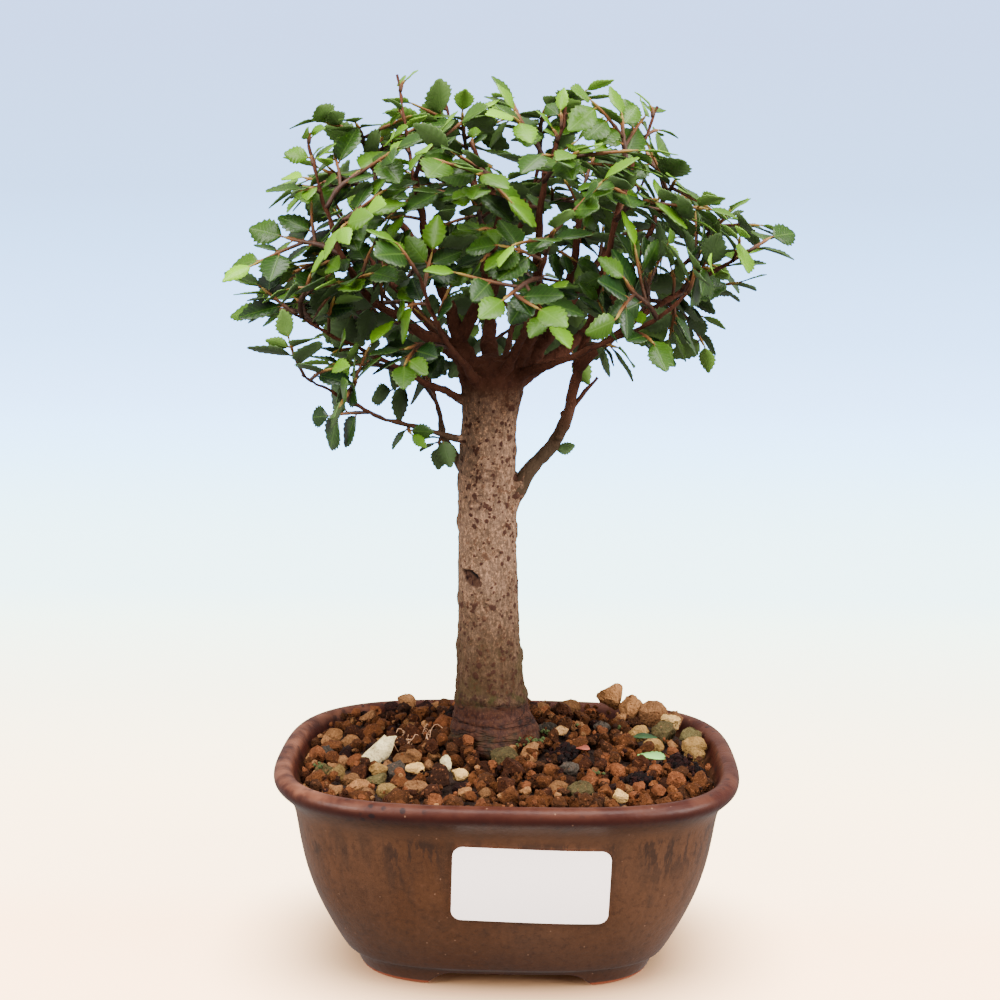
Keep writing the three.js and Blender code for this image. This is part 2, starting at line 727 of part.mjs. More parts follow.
// A leaf at t on a shoot, on the left or the right of it, turned until it fits between its neighbours
function growLeaf(shoot, { t, hand }, spray) {
  const { draw } = spray;
  const last = t === 1;
  const ahead = heading(shoot.points, t);
  const up = facing(shoot, t);
  const left = cross(up, ahead);
  const out = unit(sub(along(shoot.points, t), CROWN.centre));
  const drawn = ([least, most]) => least + (most - least) * draw();
  const scale = drawn(LEAF.scale) * (last ? 0.88 : 1);
  const half = 0.5 * LEAF.width * scale * (0.92 + 0.16 * draw());
  const droop = drawn(LEAF.droop);
  const wide = shoot.radii[0] + (shoot.radii[1] - shoot.radii[0]) * t;
  const root = add(along(shoot.points, t), mul(left, last ? 0 : hand * wide));
  for (let tries = 0; tries < TRIES.leaf; tries++) {
    const sway = [draw() - 0.5, draw() - 0.5, draw() - 0.5];
    const spread = last ? 0.5 * (draw() - 0.5) : hand * (0.6 + 0.5 * draw());
    const sink = mul(up, 0.7 * (draw() - 0.75));
    const aim = unit(add(add(mul(ahead, last ? 1 : 0.62), mul(left, spread)), sink));
    const lean = add(mul(out, 0.55), mul(sway, 1.1 + 0.1 * tries));
    const wish = add(add(mul(up, 0.8), [0, 0, 0.35]), lean);
    const face = unit(sub(wish, mul(aim, dot(wish, aim))));
    const side = cross(face, aim);
    const leaf = { root, axis: aim, side, up: face, length: LEAF.length * scale, half, droop };
    if (dot(face, up) > 0.3 && bladeFits(leaf, spray.number)) {
      blades.push(leaf);
      spray.leaves.push(leaf);
      shoot.buds.push({ t, hand: last ? 0 : hand, leaf });
      return;
    }
  }
}

// The places of the leaves along a shoot, from its tip down, on alternate sides
function leafPlaces(shoot, from) {
  const steps = Math.max(2, Math.round((shoot.length * (1 - from)) / SHOOT.pace));
  return Array.from({ length: steps + 1 }, (_, k) => ({
    t: 1 - ((1 - from) * k) / steps,
    hand: k % 2 ? 1 : -1,
  }));
}

// Whether a leaf's foot has room on its side of the shoot, beside the twigs' feet
const footFree = (shoot, { t, hand }) =>
  shoot.buds.every(
    (bud) => bud.hand !== hand || Math.abs(bud.t - t) * shoot.length > 1.6 * LEAF.foot,
  );

function growCrown() {
  WOOD.forEach(({ points, radii }) => layRods(points, ...radii, 0, 6));
  TRUNK.stations.slice(5).forEach(([x, y, z, r], k, all) => {
    if (k) rods.push({ a: all[k - 1].slice(0, 3), b: [x, y, z], r, owner: 0 });
  });
  const sprays = [];
  sprayTips().forEach((tip, i) => {
    const spray = growStem(tip, i + 1);
    if (!spray) return;
    layRods(spray.shoots[0].points, SHOOT.base, SHOOT.tip, spray.number, 6);
    sprays.push(spray);
  });
  sprays.forEach(growTwigs);
  // Every shoot's tip gets its leaf before the places behind it do.
  for (const tips of [true, false]) {
    sprays.forEach((spray) => {
      spray.shoots.forEach((shoot, s) => {
        leafPlaces(shoot, s ? 0.25 : 0.3).forEach((place, k) => {
          const chosen = tips ? k === 0 : k > 0 && k % SHOOT.every === 0;
          if (chosen && footFree(shoot, place)) growLeaf(shoot, place, spray);
        });
      });
    });
  }
  // A twig that found no room for a leaf is left out.
  sprays.forEach(({ shoots: [stem] }) => {
    stem.buds = stem.buds.filter((bud) => bud.leaf || bud.twig.buds.length > 0);
  });
  return sprays.filter((spray) => spray.leaves.length > 1);
}

// A sheet is a surface of points that each have a top and a bottom, closed round its edge.
function makeSheet() {
  return { tops: [], bottoms: [], faces: [] };
}

function sheetPoint(sheet, middle, up, thick) {
  sheet.tops.push(add(middle, mul(up, thick / 2)));
  sheet.bottoms.push(sub(middle, mul(up, thick / 2)));
  return sheet.tops.length - 1;
}

// The sheet's closed skin: its tops, its bottoms, and a wall wherever an edge has a face on one side only
function skinOf({ tops, bottoms, faces }) {
  const n = tops.length;
  const edges = new Set(faces.flatMap(([a, b, c]) => [a + " " + b, b + " " + c, c + " " + a]));
  const skin = faces.flatMap(([a, b, c]) => [[a, b, c], [a + n, c + n, b + n]]);
  edges.forEach((edge) => {
    const [a, b] = edge.split(" ").map(Number);
    if (!edges.has(b + " " + a)) skin.push([a, a + n, b + n], [a, b + n, b]);
  });
  return { points: [...tops, ...bottoms], skin };
}

function sheetSolid(sheet) {
  const { points, skin } = skinOf(sheet);
  const geometry = new THREE.BufferGeometry();
  geometry.setAttribute("position", new THREE.Float32BufferAttribute(points.flat(), 3));
  geometry.setIndex(skin.flat());
  return solid(geometry);
}

// Whether the line from p to q passes through a triangle
function pierces(p, q, [a, b, c]) {
  const way = sub(q, p);
  const [ab, ac, ap] = [sub(b, a), sub(c, a), sub(p, a)];
  const normal = cross(way, ac);
  const area = dot(ab, normal);
  if (Math.abs(area) < 1e-9) return false;
  const u = dot(ap, normal) / area;
  const turned = cross(ap, ab);
  const v = dot(way, turned) / area;
  const share = dot(ac, turned) / area;
  return u > 0 && v > 0 && u + v < 1 && share > 0 && share < 1;
}

// How many pairs of a sheet's triangles cross each other
function crossings(sheet) {
  const { points, skin } = skinOf(sheet);
  const tiles = skin.map((corners) => {
    const at = corners.map((corner) => points[corner]);
    const low = [0, 1, 2].map((k) => Math.min(at[0][k], at[1][k], at[2][k]));
    const high = [0, 1, 2].map((k) => Math.max(at[0][k], at[1][k], at[2][k]));
    return { corners, at, low, high };
  });
  const cuts = (one, other) =>
    one.at.some((p, k) => pierces(p, one.at[(k + 1) % 3], other.at));
  let count = 0;
  tiles.forEach((one, i) => {
    for (let j = i + 1; j < tiles.length; j++) {
      const other = tiles[j];
      if (one.low.some((low, k) => low > other.high[k] || other.low[k] > one.high[k])) continue;
      if (one.corners.some((corner) => other.corners.includes(corner))) continue;
      if (cuts(one, other) || cuts(other, one)) count += 1;
    }
  });
  return count;
}

// A toothed blade, folded along its rib, from a foot whose left and right points the sheet has
function layLeaf(sheet, leaf, left, right) {
  const edge = [
    [0.36, 0.92, 0.5],
    [0.53, 0.8, 0.3],
    [0.72, 0.84, 0.2],
  ];
  const at = (u, v, w) => sheetPoint(sheet, onLeaf(leaf, u, v, w), leaf.up, LEAF.thick);
  const tip = at(1, 0, 0);
  const rim = [
    ...edge.map(([u, v, w]) => at(u, v, w)).reverse(),
    left,
    right,
    ...edge.map(([u, v, w]) => at(u, -v, w)),
  ];
  for (let i = 0; i + 1 < rim.length; i++) sheet.faces.push([tip, rim[i], rim[i + 1]]);
}

// A shoot as a square bar, with its twigs and leaves growing from its two sides. A stem starts at a cut,
// with one stop on the way to its first bud. A twig starts from the foot that its stem has for it.
function layShoot(sheet, shoot, cut, foot = null) {
  const half = (t) => shoot.radii[0] + (shoot.radii[1] - shoot.radii[0]) * t;
  const place = (t, hand) => {
    const up = facing(shoot, t);
    const left = cross(up, heading(shoot.points, t));
    return sheetPoint(sheet, add(along(shoot.points, t), mul(left, hand * half(t))), up, 2 * half(t));
  };
  const reach = (0.5 * LEAF.foot) / shoot.length;
  const kept = shoot.buds.filter((bud) => bud.t > cut + 2 * reach).sort((a, b) => a.t - b.t);
  const rows = [1, -1].map((hand) => {
    const row = [{ t: cut, point: foot ? foot[hand > 0 ? 0 : 1] : place(cut, hand) }];
    if (!foot) {
      const stop = 0.5 * (cut + kept[0].t);
      row.push({ t: stop, point: place(stop, hand) });
    }
    kept.forEach((bud) => {
      if (bud.hand !== hand) {
        // The side with no bud bends where the other side has one, so that the bar doesn't cross itself.
        const alone = kept.every(({ t, hand: side }) => side !== hand || Math.abs(t - bud.t) > 3 * reach);
        if (alone && bud.hand !== 0) row.push({ t: bud.t, point: place(bud.t, hand) });
        return;
      }
      const [near, far] = [bud.t - reach, bud.t + reach];
      const feet = [place(near, hand), place(far, hand)];
      row.push({ t: near, point: feet[0] }, { t: far, point: feet[1] });
      bud.feet = hand > 0 ? feet : [feet[1], feet[0]];
    });
    row.push({ t: 1, point: place(1, hand) });
    return row;
  });
  const [lefts, rights] = rows;
  let [i, j] = [0, 0];
  while (i + 1 < lefts.length || j + 1 < rights.length) {
    const nextLeft = i + 1 < lefts.length ? lefts[i + 1].t : Infinity;
    const nextRight = j + 1 < rights.length ? rights[j + 1].t : Infinity;
    if (nextLeft <= nextRight) {
      sheet.faces.push([rights[j].point, lefts[i + 1].point, lefts[i].point]);
      i += 1;
    } else {
      sheet.faces.push([rights[j].point, rights[j + 1].point, lefts[i].point]);
      j += 1;
    }
  }
  kept.forEach((bud) => {
    const feet = bud.hand === 0 ? [lefts[i].point, rights[j].point] : bud.feet;
    if (bud.leaf) layLeaf(sheet, bud.leaf, ...feet);
    else layShoot(sheet, bud.twig, 0, feet);
  });
}

function spraySheet(stem, cut) {
  const sheet = makeSheet();
  layShoot(sheet, stem, cut);
  return sheet;
}

// Where a spray's skin would cross itself, it loses the leaf or twig that clears most of it.
function thinOut({ shoots }) {
  let left = crossings(spraySheet(shoots[0], 0));
  while (left > 0) {
    let best = null;
    for (const shoot of shoots) {
      const buds = shoot.buds;
      for (const bud of buds) {
        const kept = buds.filter((other) => other !== bud);
        shoot.buds = kept;
        const after = crossings(spraySheet(shoots[0], 0));
        if (!best || after < best.after) best = { after, shoot, kept };
      }
      shoot.buds = buds;
    }
    best.shoot.buds = best.kept;
    left = best.after;
  }
}

// A spray's solid, with its stem cut back from its limb until the whole stands clear of the wood
function spraySolid(spray, wood) {
  thinOut(spray);
  const [stem] = spray.shoots;
  for (let cut = 0; cut < 0.5; cut += SHOOT.cut / stem.length) {
    const made = sheetSolid(spraySheet(stem, cut));
    if (made.intersect(wood).isEmpty()) return made;
  }
  throw new Error("a spray crosses the wood away from its root");
}

// The front wall's y, where it stands at x and z
function frontAt(x, z) {
  const inset = insetAt(OUTER_WALL, z);
  const a = POT.width / 2 - inset;
  const b = POT.depth / 2 - inset;
  return -b * (1 - Math.abs(x / a) ** POT.corner) ** (1 / POT.corner);
}

// The blank tag with round corners, bent to the front wall: columns of points from left to right
function makeTag() {
  const turn = (TAG.turn * Math.PI) / 180;
  const half = TAG.width / 2;
  const columns = [-1, -0.965, -0.87, -0.5, 0, 0.5, 0.87, 0.965, 1];
  const heights = [-1, -0.76, 0, 1]; // the second lies over the wall's own bend
  const sheet = makeSheet();
  const rows = columns.map((place) => {
    const u = place * half;
    const bent = Math.max(Math.abs(u) - (half - TAG.corner), 0);
    const tall = TAG.height / 2 - TAG.corner + Math.sqrt(TAG.corner ** 2 - bent ** 2);
    return heights.map((share) => {
      const w = share * tall;
      const x = TAG.x + u * Math.cos(turn) - w * Math.sin(turn);
      const z = TAG.z + u * Math.sin(turn) + w * Math.cos(turn);
      const lean = (frontAt(x, z + 1) - frontAt(x, z - 1)) / 2;
      const out = unit([(frontAt(x - 1, z) - frontAt(x + 1, z)) / -2, -1, lean]);
      const wall = [x, frontAt(x, z), z];
      return sheetPoint(sheet, add(wall, mul(out, TAG.off + TAG.thick / 2)), out, TAG.thick);
    });
  });
  for (let k = 0; k + 1 < rows.length; k++)
    for (let i = 0; i + 1 < heights.length; i++) {
      const [a, b, c, d] = [rows[k][i], rows[k + 1][i], rows[k + 1][i + 1], rows[k][i + 1]];
      sheet.faces.push([a, b, c], [a, c, d]);
    }
  return sheetSolid(sheet);
}

// The shed leaf, let down on the soil until it would touch
function makeFallen(soil) {
  const axis = [Math.cos(FALLEN.turn), Math.sin(FALLEN.turn), 0.05];
  const at = (z) => {
    const sheet = makeSheet();
    const up = unit(cross(axis, cross([0.06, -0.05, 1], axis)));
    const side = cross(up, unit(axis));
    const { length, half } = FALLEN;
    const root = [FALLEN.x, FALLEN.y, z];
    const leaf = { root, axis: unit(axis), side, up, length, half, droop: FALLEN.droop };
    const foot = [0.5, -0.5].map((v) =>
      sheetPoint(sheet, add(root, mul(side, v * LEAF.foot)), up, LEAF.thick),
    );
    layLeaf(sheet, leaf, ...foot);
    return sheetSolid(sheet);
  };
  let z = SOIL.edgeHeight + SOIL.mound + 2 * SOIL.grain;
  const step = GAP / 2;
  while (soil.intersect(at(z - step)).isEmpty()) z -= step;
  return at(z + step);
}

// Assembly
piece("pot", makePot(), COLOURS.glaze, 0.35);
const nets = [-1, 1].map(makeMesh);
piece("drain_mesh_left", nets[0].net, COLOURS.plastic, 0.6);
piece("drain_mesh_right", nets[1].net, COLOURS.plastic, 0.6);
const soil = makeSoil(nets.map(({ room }) => room));
piece("soil", soil, COLOURS.soil, 0.95);
piece("fallen_leaf", makeFallen(soil), COLOURS.shed, 0.6);
piece("tree_wood", woodSolid(0), COLOURS.bark, 0.8);
piece("tag", makeTag(), COLOURS.paper, 0.5);
const keptClear = woodSolid(GAP);
growCrown().forEach((spray, i) => {
  const name = "spray_" + String(i + 1).padStart(2, "0");
  piece(name, spraySolid(spray, keptClear), COLOURS.leaf, 0.5);
});

// The origin is under the middle of the whole object, on the surface it stands on.
const box = new THREE.Box3().setFromObject(part);
part.position.set(-(box.min.x + box.max.x) / 2, -(box.min.y + box.max.y) / 2, 0);

export default part;
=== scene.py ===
import math

import bpy
import numpy as np
from bpy.props import FloatProperty, FloatVectorProperty, IntProperty, PointerProperty
from bpy.types import Operator, Panel, PropertyGroup
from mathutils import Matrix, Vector, noise


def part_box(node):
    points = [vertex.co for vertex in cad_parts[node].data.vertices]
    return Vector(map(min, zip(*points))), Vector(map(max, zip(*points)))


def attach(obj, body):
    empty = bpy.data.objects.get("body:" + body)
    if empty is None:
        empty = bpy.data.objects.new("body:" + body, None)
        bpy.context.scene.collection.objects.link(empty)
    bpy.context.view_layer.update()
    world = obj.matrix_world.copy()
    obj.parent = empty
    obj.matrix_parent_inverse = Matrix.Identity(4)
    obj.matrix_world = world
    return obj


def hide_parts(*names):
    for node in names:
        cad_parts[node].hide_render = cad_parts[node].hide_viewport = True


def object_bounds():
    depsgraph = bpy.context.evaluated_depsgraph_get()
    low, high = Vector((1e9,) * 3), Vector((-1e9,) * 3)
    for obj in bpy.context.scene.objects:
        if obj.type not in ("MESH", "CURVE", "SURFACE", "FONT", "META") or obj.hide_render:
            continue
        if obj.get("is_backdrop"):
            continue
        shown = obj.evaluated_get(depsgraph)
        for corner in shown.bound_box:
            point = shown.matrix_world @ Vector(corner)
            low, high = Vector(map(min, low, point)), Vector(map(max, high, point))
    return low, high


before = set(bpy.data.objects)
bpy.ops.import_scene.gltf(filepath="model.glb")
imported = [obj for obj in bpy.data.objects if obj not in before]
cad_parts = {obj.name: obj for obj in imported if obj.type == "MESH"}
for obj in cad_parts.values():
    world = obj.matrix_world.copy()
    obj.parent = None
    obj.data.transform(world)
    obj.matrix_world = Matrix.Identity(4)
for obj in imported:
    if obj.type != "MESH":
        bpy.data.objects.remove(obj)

bl_info = {
    "name": "Potted elm bonsai",
    "version": (1, 0, 0),
    "blender": (4, 5, 0),
    "location": "View3D > Sidebar > Bonsai",
    "description": "Dresses the packed model of a small-leaved elm in its glazed pot",
    "category": "Add Mesh",
}

CAD_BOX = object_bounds()
MM = 0.001
POT_LOW, POT_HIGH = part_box("pot")
# Pieces are worked out in millimetres from the middle of the pot, as the solids are.
POT_MIDDLE = np.array(((POT_LOW.x + POT_HIGH.x) / 2, (POT_LOW.y + POT_HIGH.y) / 2, 0))

POT_HALF = (76.2, 63.5)
PLAN_CORNER = 3.3
# Each step is how far the wall stands in from the lip's outer edge, and its height.
POT_WALL = (
    (33, 4.7), (26.8, 4.75), (26.0, 5.0), (25.2, 5.8), (24.5, 6.6), (23.9, 7.0), (22.6, 7.3), (22.0, 8.0),
    (20.8, 9.9), (17.3, 16.5), (13.6, 24.5), (11.0, 31.5), (8.9, 39.5), (7.5, 48), (6.6, 54.5), (5.2, 58.4),
    (2.6, 61.2), (0.3, 63.4), (-0.3, 65.6), (0.4, 67.4), (2.3, 68.4), (4.6, 68.1), (5.8, 66.6), (7.2, 63),
    (12.6, 53), (16, 34), (24, 17), (30, 10.2), (34, 9.5),
)
FOOT_WALL = ((28.0, 0), (27.6, 0.5), (26.8, 2.2), (26.0, 4.2), (25.4, 5.6), (24.9, 6.3))
# The soil's height at the edge, and how much higher it is at the trunk and at the back
SOIL_EDGE, SOIL_HEAP, SOIL_BACK = 62.2, 7.3, 2.8
SOIL_SIDE = ((32, 10), (24.6, 17.4), (16.8, 34), (13.2, 53), (9.4, 60))

# The trunk's centre line and its radius there
TRUNK = (
    (-5, 11, 40.5, 9), (-5, 11, 58, 10.5), (-5, 11, 66, 15.6), (-5.2, 11, 71, 15.0),
    (-5.8, 10.6, 79, 12.8), (-6.4, 10, 90, 11.6), (-7, 10, 108, 10.5), (-7.6, 10, 132, 9.9),
    (-8, 10, 156, 9.6), (-7.4, 10, 178, 9.3), (-6.4, 9.8, 190, 10.4), (-6.2, 9.6, 196.5, 8.6),
    (-6, 9.6, 199, 4),
)
# Limbs: the radius at the two ends, and where each passes
LIMBS = (
    ((4.2, 1.5), (-10, 9, 186), (-16, 4, 200), (-19, -3, 212), (-24, -9, 228), (-28, -15, 243),
     (-30, -20, 256)),
    ((3.0, 1.3), (-17, 0, 206), (-13, -4, 212), (-8, -11, 224), (-5, -18, 238), (-3, -24, 252)),
    ((2.8, 1.2), (-11, 8, 194), (-21, 1, 202), (-33, -6, 210), (-45, -14, 219), (-53, -20, 232),
     (-57, -24, 246)),
    ((1.9, 0.9), (-12, 8, 183), (-24, 1, 189), (-40, -10, 198), (-55, -16, 206), (-67, -20, 213)),
    ((1.5, 0.8), (-13, 8, 171), (-27, -3, 175), (-43, -17, 182), (-56, -26, 190), (-64, -30, 195)),
    ((2.2, 1.0), (-13, 13, 157), (-22, 25, 168), (-27, 35, 182), (-34, 46, 200), (-42, 54, 216)),
    ((4.3, 1.3), (-3, 9, 148), (4, 9, 158), (15, 6, 173), (20, 2, 189), (24, -3, 207), (28, -7, 224),
     (32, -12, 242), (35, -14, 256)),
    ((4.0, 1.3), (-4, 9, 190), (4, 5, 203), (7, 0, 213), (8, -6, 230), (9, -12, 248), (10, -16, 261)),
    ((3.6, 1.3), (-1, 11, 192), (11, 9, 205), (17, 3, 218), (20, -4, 236), (22, -10, 254)),
    ((2.2, 0.9), (-1, 8, 192), (14, -4, 198), (29, -17, 205), (44, -28, 213), (54, -34, 222)),
    ((2.2, 0.9), (21, 0, 196), (34, -4, 208), (48, -9, 218), (62, -14, 227), (73, -18, 234)),
    ((3.6, 1.2), (-7, 13, 192), (-8, 23, 206), (-10, 31, 226), (-12, 37, 245), (-14, 40, 258)),
    ((3.2, 1.1), (-2, 13, 192), (10, 24, 204), (22, 35, 220), (32, 43, 236), (37, 47, 248)),
    ((3.0, 1.0), (-10, 13, 190), (-22, 23, 202), (-36, 31, 216), (-50, 36, 230), (-58, 38, 242)),
    ((2.8, 1.0), (0, 11, 190), (20, 18, 203), (38, 23, 216), (56, 25, 229), (66, 25, 240)),
    ((2.2, 1.0), (-9, 27, 215), (-2, 32, 233), (5, 33, 250), (8, 31, 263)),
    ((2.4, 0.9), (-6, 14, 186), (-3, 32, 199), (1, 49, 212), (4, 60, 226)),
    ((2.2, 0.9), (-9, 5, 188), (-17, -13, 200), (-23, -30, 212), (-27, -44, 226)),
    ((2.2, 0.9), (-4, 5, 192), (3, -12, 205), (8, -28, 221), (11, -41, 236)),
    ((1.9, 0.9), (-23, -8, 227), (-36, 0, 242), (-44, 8, 254), (-48, 12, 264)),
    ((2.0, 0.9), (23, -3, 207), (36, 4, 224), (45, 10, 241), (49, 13, 254)),
)
# Thin ends that were pruned bare and stand out of the leaves
STUBS = (
    ((1.1, 0.8), (-29, -16, 246), (-33, -10, 266), (-37, -3, 288)),
    ((1.3, 1.0), (-4, -21, 246), (-8, -26, 256), (-13, -30, 266)),
    ((1.1, 0.8), (34, -13, 250), (39, -8, 264), (45, -2, 279)),
    ((1.0, 0.75), (-54, -21, 235), (-60, -17, 252), (-65, -11, 270)),
    ((1.2, 0.9), (10, -15, 257), (14, -13, 268), (16, -10, 278)),
    ((1.1, 0.8), (-14, 39, 254), (-20, 36, 270), (-24, 33, 283)),
    ((1.0, 0.75), (36, 46, 244), (43, 42, 256), (47, 37, 268)),
    ((1.5, 1.3), (17, 5, 180), (23, 3, 187), (28, 2, 193)),
)
# The crown's dome: its middle, and its reach to the sides, to the front and back, up and down
CROWN_CENTRE = np.array((-2.0, 5.0, 226.0))
CROWN_REACH = (72, 62, 58)
CROWN_DROP = 38
# How many sprays end on the dome, and the angle from straight up, in degrees, at which the lowest does
CROWN_SPRAYS, CROWN_LOWEST = 46, 118
# In front the dome's middle stays open: half the opening's width, and the heights below which sprays
# and short shoots leave it free
CROWN_OPEN, SPRAYS_FROM, SHORT_SHOOTS_FROM = 34, 216, 214
# Tips of the sprays that end away from the dome
OTHER_SPRAYS = (
    (-47, -35, 195), (-64, -31, 196), (-75, -20, 213), (-50, 54, 210), (44, -32, 215), (76, -22, 236),
    (-62, -24, 226), (-33, -24, 203), (-50, -6, 198), (-62, 2, 259), (-18, -36, 250), (-66, 10, 232),
    (20, -44, 240), (-40, -12, 232), (-50, -5, 273), (-35, 3, 282), (44, -8, 228), (14, -30, 224),
    (-14, 12, 250), (22, 20, 252), (-34, 22, 196), (36, -4, 272),
)
# Radii at the two ends of a spray's stem and of its twigs
STEM_RADII = (0.85, 0.5)
TWIG_RADII = (0.6, 0.4)
# The way from leaf to leaf along a shoot, and a usual leaf. Other leaves keep clear of its thickness,
# and the next leaf on the shoot of its foot.
PACE = 3.7
LEAF_LENGTH, LEAF_WIDTH, LEAF_THICK, LEAF_FOOT = 13.2, 9.2, 0.6, 1.3
# The least and the greatest share of the usual length, and how far a leaf's tip droops
LEAF_SIZES, LEAF_DROOPS = (0.76, 1.16), (0.3, 1.4)
# Where short shoots stand along each limb, and their least and greatest length
SHORT_SHOOTS = {"places": (1, 0.9, 0.78, 0.66, 0.54), "lengths": (9, 17)}
STUB_SHOOTS = {"places": (0.9, 0.68, 0.45), "lengths": (2.5, 6)}
# Limbs with leaves low down, and where they stand along them
LONE_SHOOTS = {6: (0.24,), 4: (0.14, 0.32)}
SHORT_SHOOT_PIECES = 4
# The gap that added leaves keep to their neighbours before they are folded
FILL_CLEAR = 0.1

# Stones that stand out of the soil: kind, place, length, breadth, height, turn, how far it stands up
STONES = (
    ("pumice", -43, -5, 14.5, 6.4, 6.4, 0.5, 4.6), ("olive", -1.5, -9, 9.8, 8.0, 7.8, 0.2, 3.0),
    ("grey", -62.5, 4, 7.0, 6.2, 5.0, 0.4, 2.2), ("grey", -35.5, -17, 6.6, 6.0, 5.4, 1.2, 2.6),
    ("tan", 37, 47, 9.5, 8.0, 10.0, 0.3, 10.0), ("tan", 44, 45, 10.5, 8.0, 9.0, 0.8, 7.4),
    ("tan", 52, 41, 9.5, 8.0, 8.6, 0.1, 6.4), ("tan", 58, 36, 7.5, 6.0, 7.0, 0.4, 5.4),
    ("tan", -38, 49, 6.5, 6.0, 6.5, 0.5, 5.4), ("tan", 22, 49, 7.0, 6.0, 5.6, 0.4, 4.2),
    ("dark", -43, 46, 6.5, 6.0, 6.0, 0.2, 3.6), ("dark", -31, 48, 6.5, 6.0, 6.0, 0.9, 3.2),
    ("cream", 57, 31, 6.8, 6.0, 6.0, 0.3, 6.0), ("olive", 54, 26, 8.6, 7.6, 7.0, 1.1, 5.0),
    ("olive", 63, 24, 8.6, 6.6, 6.4, 0.9, 4.8), ("yellow", 64, 14, 8.0, 6.6, 6.0, 0.6, 4.4),
    ("yellow", 63, 6, 6.5, 5.6, 5.4, 0.2, 3.4), ("yellow", 46, 24, 6.8, 6.2, 6.0, 0.2, 4.2),
    ("yellow", 50, 14, 6.6, 5.6, 5.0, 0.4, 3.0), ("tan", -46, -32, 7.4, 6.0, 5.0, 0.4, 2.8),
    ("yellow", -55, -19, 6.8, 5.8, 4.8, 0.9, 2.4), ("tan", -28, -33, 7.2, 5.4, 5.0, 0.1, 2.8),
    ("tan", -54, 13, 6.6, 6.0, 5.4, 0.6, 2.6), ("pumice", -20, -16, 5.4, 4.2, 4.4, 2.1, 2.8),
    ("cream", -15, -24, 5.6, 4.6, 4.0, 0.5, 2.6), ("tan", -61, 22, 6.8, 6.2, 5.2, 0.8, 2.6),
    ("grey", 14, 18, 7.2, 5.4, 5.0, 0.3, 2.6), ("cream", 18, 15, 6.4, 3.4, 3.8, 0.9, 3.2),
    ("olive", -41, -26, 6.4, 5.6, 4.8, 0.2, 2.4), ("olive", -60, -14, 5.8, 5.2, 4.6, 0.7, 2.2),
    ("yellow", -37, -36, 6.2, 5.2, 4.6, 0.3, 2.6), ("cream", -29, -20, 6.6, 4.4, 4.0, 2.7, 2.8),
    ("tan", -50, -27, 6.0, 5.4, 4.8, 1.4, 2.8), ("cream", 36, -39, 5.0, 4.0, 4.2, 2.5, 3.2),
    ("tan", -13, -38, 5.4, 4.8, 5.0, 1.5, 2.6), ("yellow", -42, -18, 5.8, 5.0, 4.6, 0.1, 2.8),
    ("tan", 12, 49, 6.0, 5.0, 5.0, 0.1, 2.6), ("cream", -17, 47, 6.0, 4.8, 4.4, 0.5, 2.8),
    ("tan", -50, 36, 6.4, 5.4, 5.2, 0.7, 3.0), ("grey", 33, 30, 6.0, 5.2, 4.8, 0.2, 2.4),
    ("olive", 24, -34, 8.2, 7.0, 6.6, 0.7, 3.4), ("grey", 20, -16, 6.4, 5.6, 5.0, 0.7, 2.8),
)
# Clumps of black humus: place, and how wide the clump is
HUMUS = ((20, -6, 8.0), (57, -4, 8.5), (43, -24, 9.0), (62, -14, 6.0), (-20, 30, 5.0))

# How the studio's film shows light: each strength of light, and the tone from 0 to 255 that it shows as
LIGHTS = (0, 0.02, 0.05, 0.1, 0.18, 0.3, 0.5, 0.8, 1, 1.5, 2, 3, 4, 6, 8)
TONES = (0, 32, 58, 86, 117, 145, 169, 188, 196, 209, 217, 227, 234, 241, 246)
# What falls on a surface in the open, and what a surface's shine adds to its own colour
STUDIO_LIGHT, SHEEN = 2.7, 0.01
# The least and the most of the light that a finish gives back
PAINT_LEAST, PAINT_MOST = 0.002, 0.92


def glow(*shown):
    """The light that the film shows as a colour from 0 to 255"""
    return tuple(float(np.interp(tone, TONES, LIGHTS)) for tone in shown)


def paint(*shown):
    """The finish that shows as a colour in the studio's light"""
    finishes = (light / STUDIO_LIGHT - SHEEN for light in glow(*shown))
    return tuple(min(max(finish, PAINT_LEAST), PAINT_MOST) for finish in finishes)


STONE_COLOURS = {
    "red": ((150, 97, 60), (124, 76, 47), (166, 112, 71), (98, 60, 41), (138, 86, 53), (110, 69, 46)),
    "tan": ((192, 160, 116), (178, 146, 102), (170, 132, 88)),
    "yellow": ((190, 168, 112), (172, 150, 96)),
    "olive": ((142, 130, 88), (126, 114, 76)),
    "cream": ((218, 204, 168), (204, 184, 146)),
    "pumice": ((232, 218, 200),),
    "grey": ((124, 114, 102), (104, 96, 86)),
    "dark": ((86, 56, 40), (70, 46, 35)),
    "black": ((66, 44, 36), (50, 35, 30)),
}


# What the user may change

def colour(name, description, default):
    return FloatVectorProperty(name=name, description=description, subtype="COLOR", size=3, min=0, max=1,
                               default=paint(*default))


def length(name, description, default):
    return FloatProperty(name=name, description=description, unit="LENGTH", precision=5, min=0,
                         default=default)


class PotFinish(PropertyGroup):
    glaze: colour("Glaze", "Main colour of the glaze", (128, 86, 60))
    streaks: colour("Streaks", "Blue-grey that runs down in the glaze", (78, 66, 60))
    thin_glaze: colour("Thin glaze", "Colour where the glaze breaks over an edge", (160, 108, 78))
    clay: colour("Clay", "Bare clay under the feet", (186, 122, 84))
    streak_width: length("Streak width", "Width of the streaks that run down", 0.006)


class SoilFinish(PropertyGroup):
    grain: length("Grain", "Size of a usual grain", 0.0071)
    seed: IntProperty(name="Seed", description="Start of the draws for the grains", default=5)


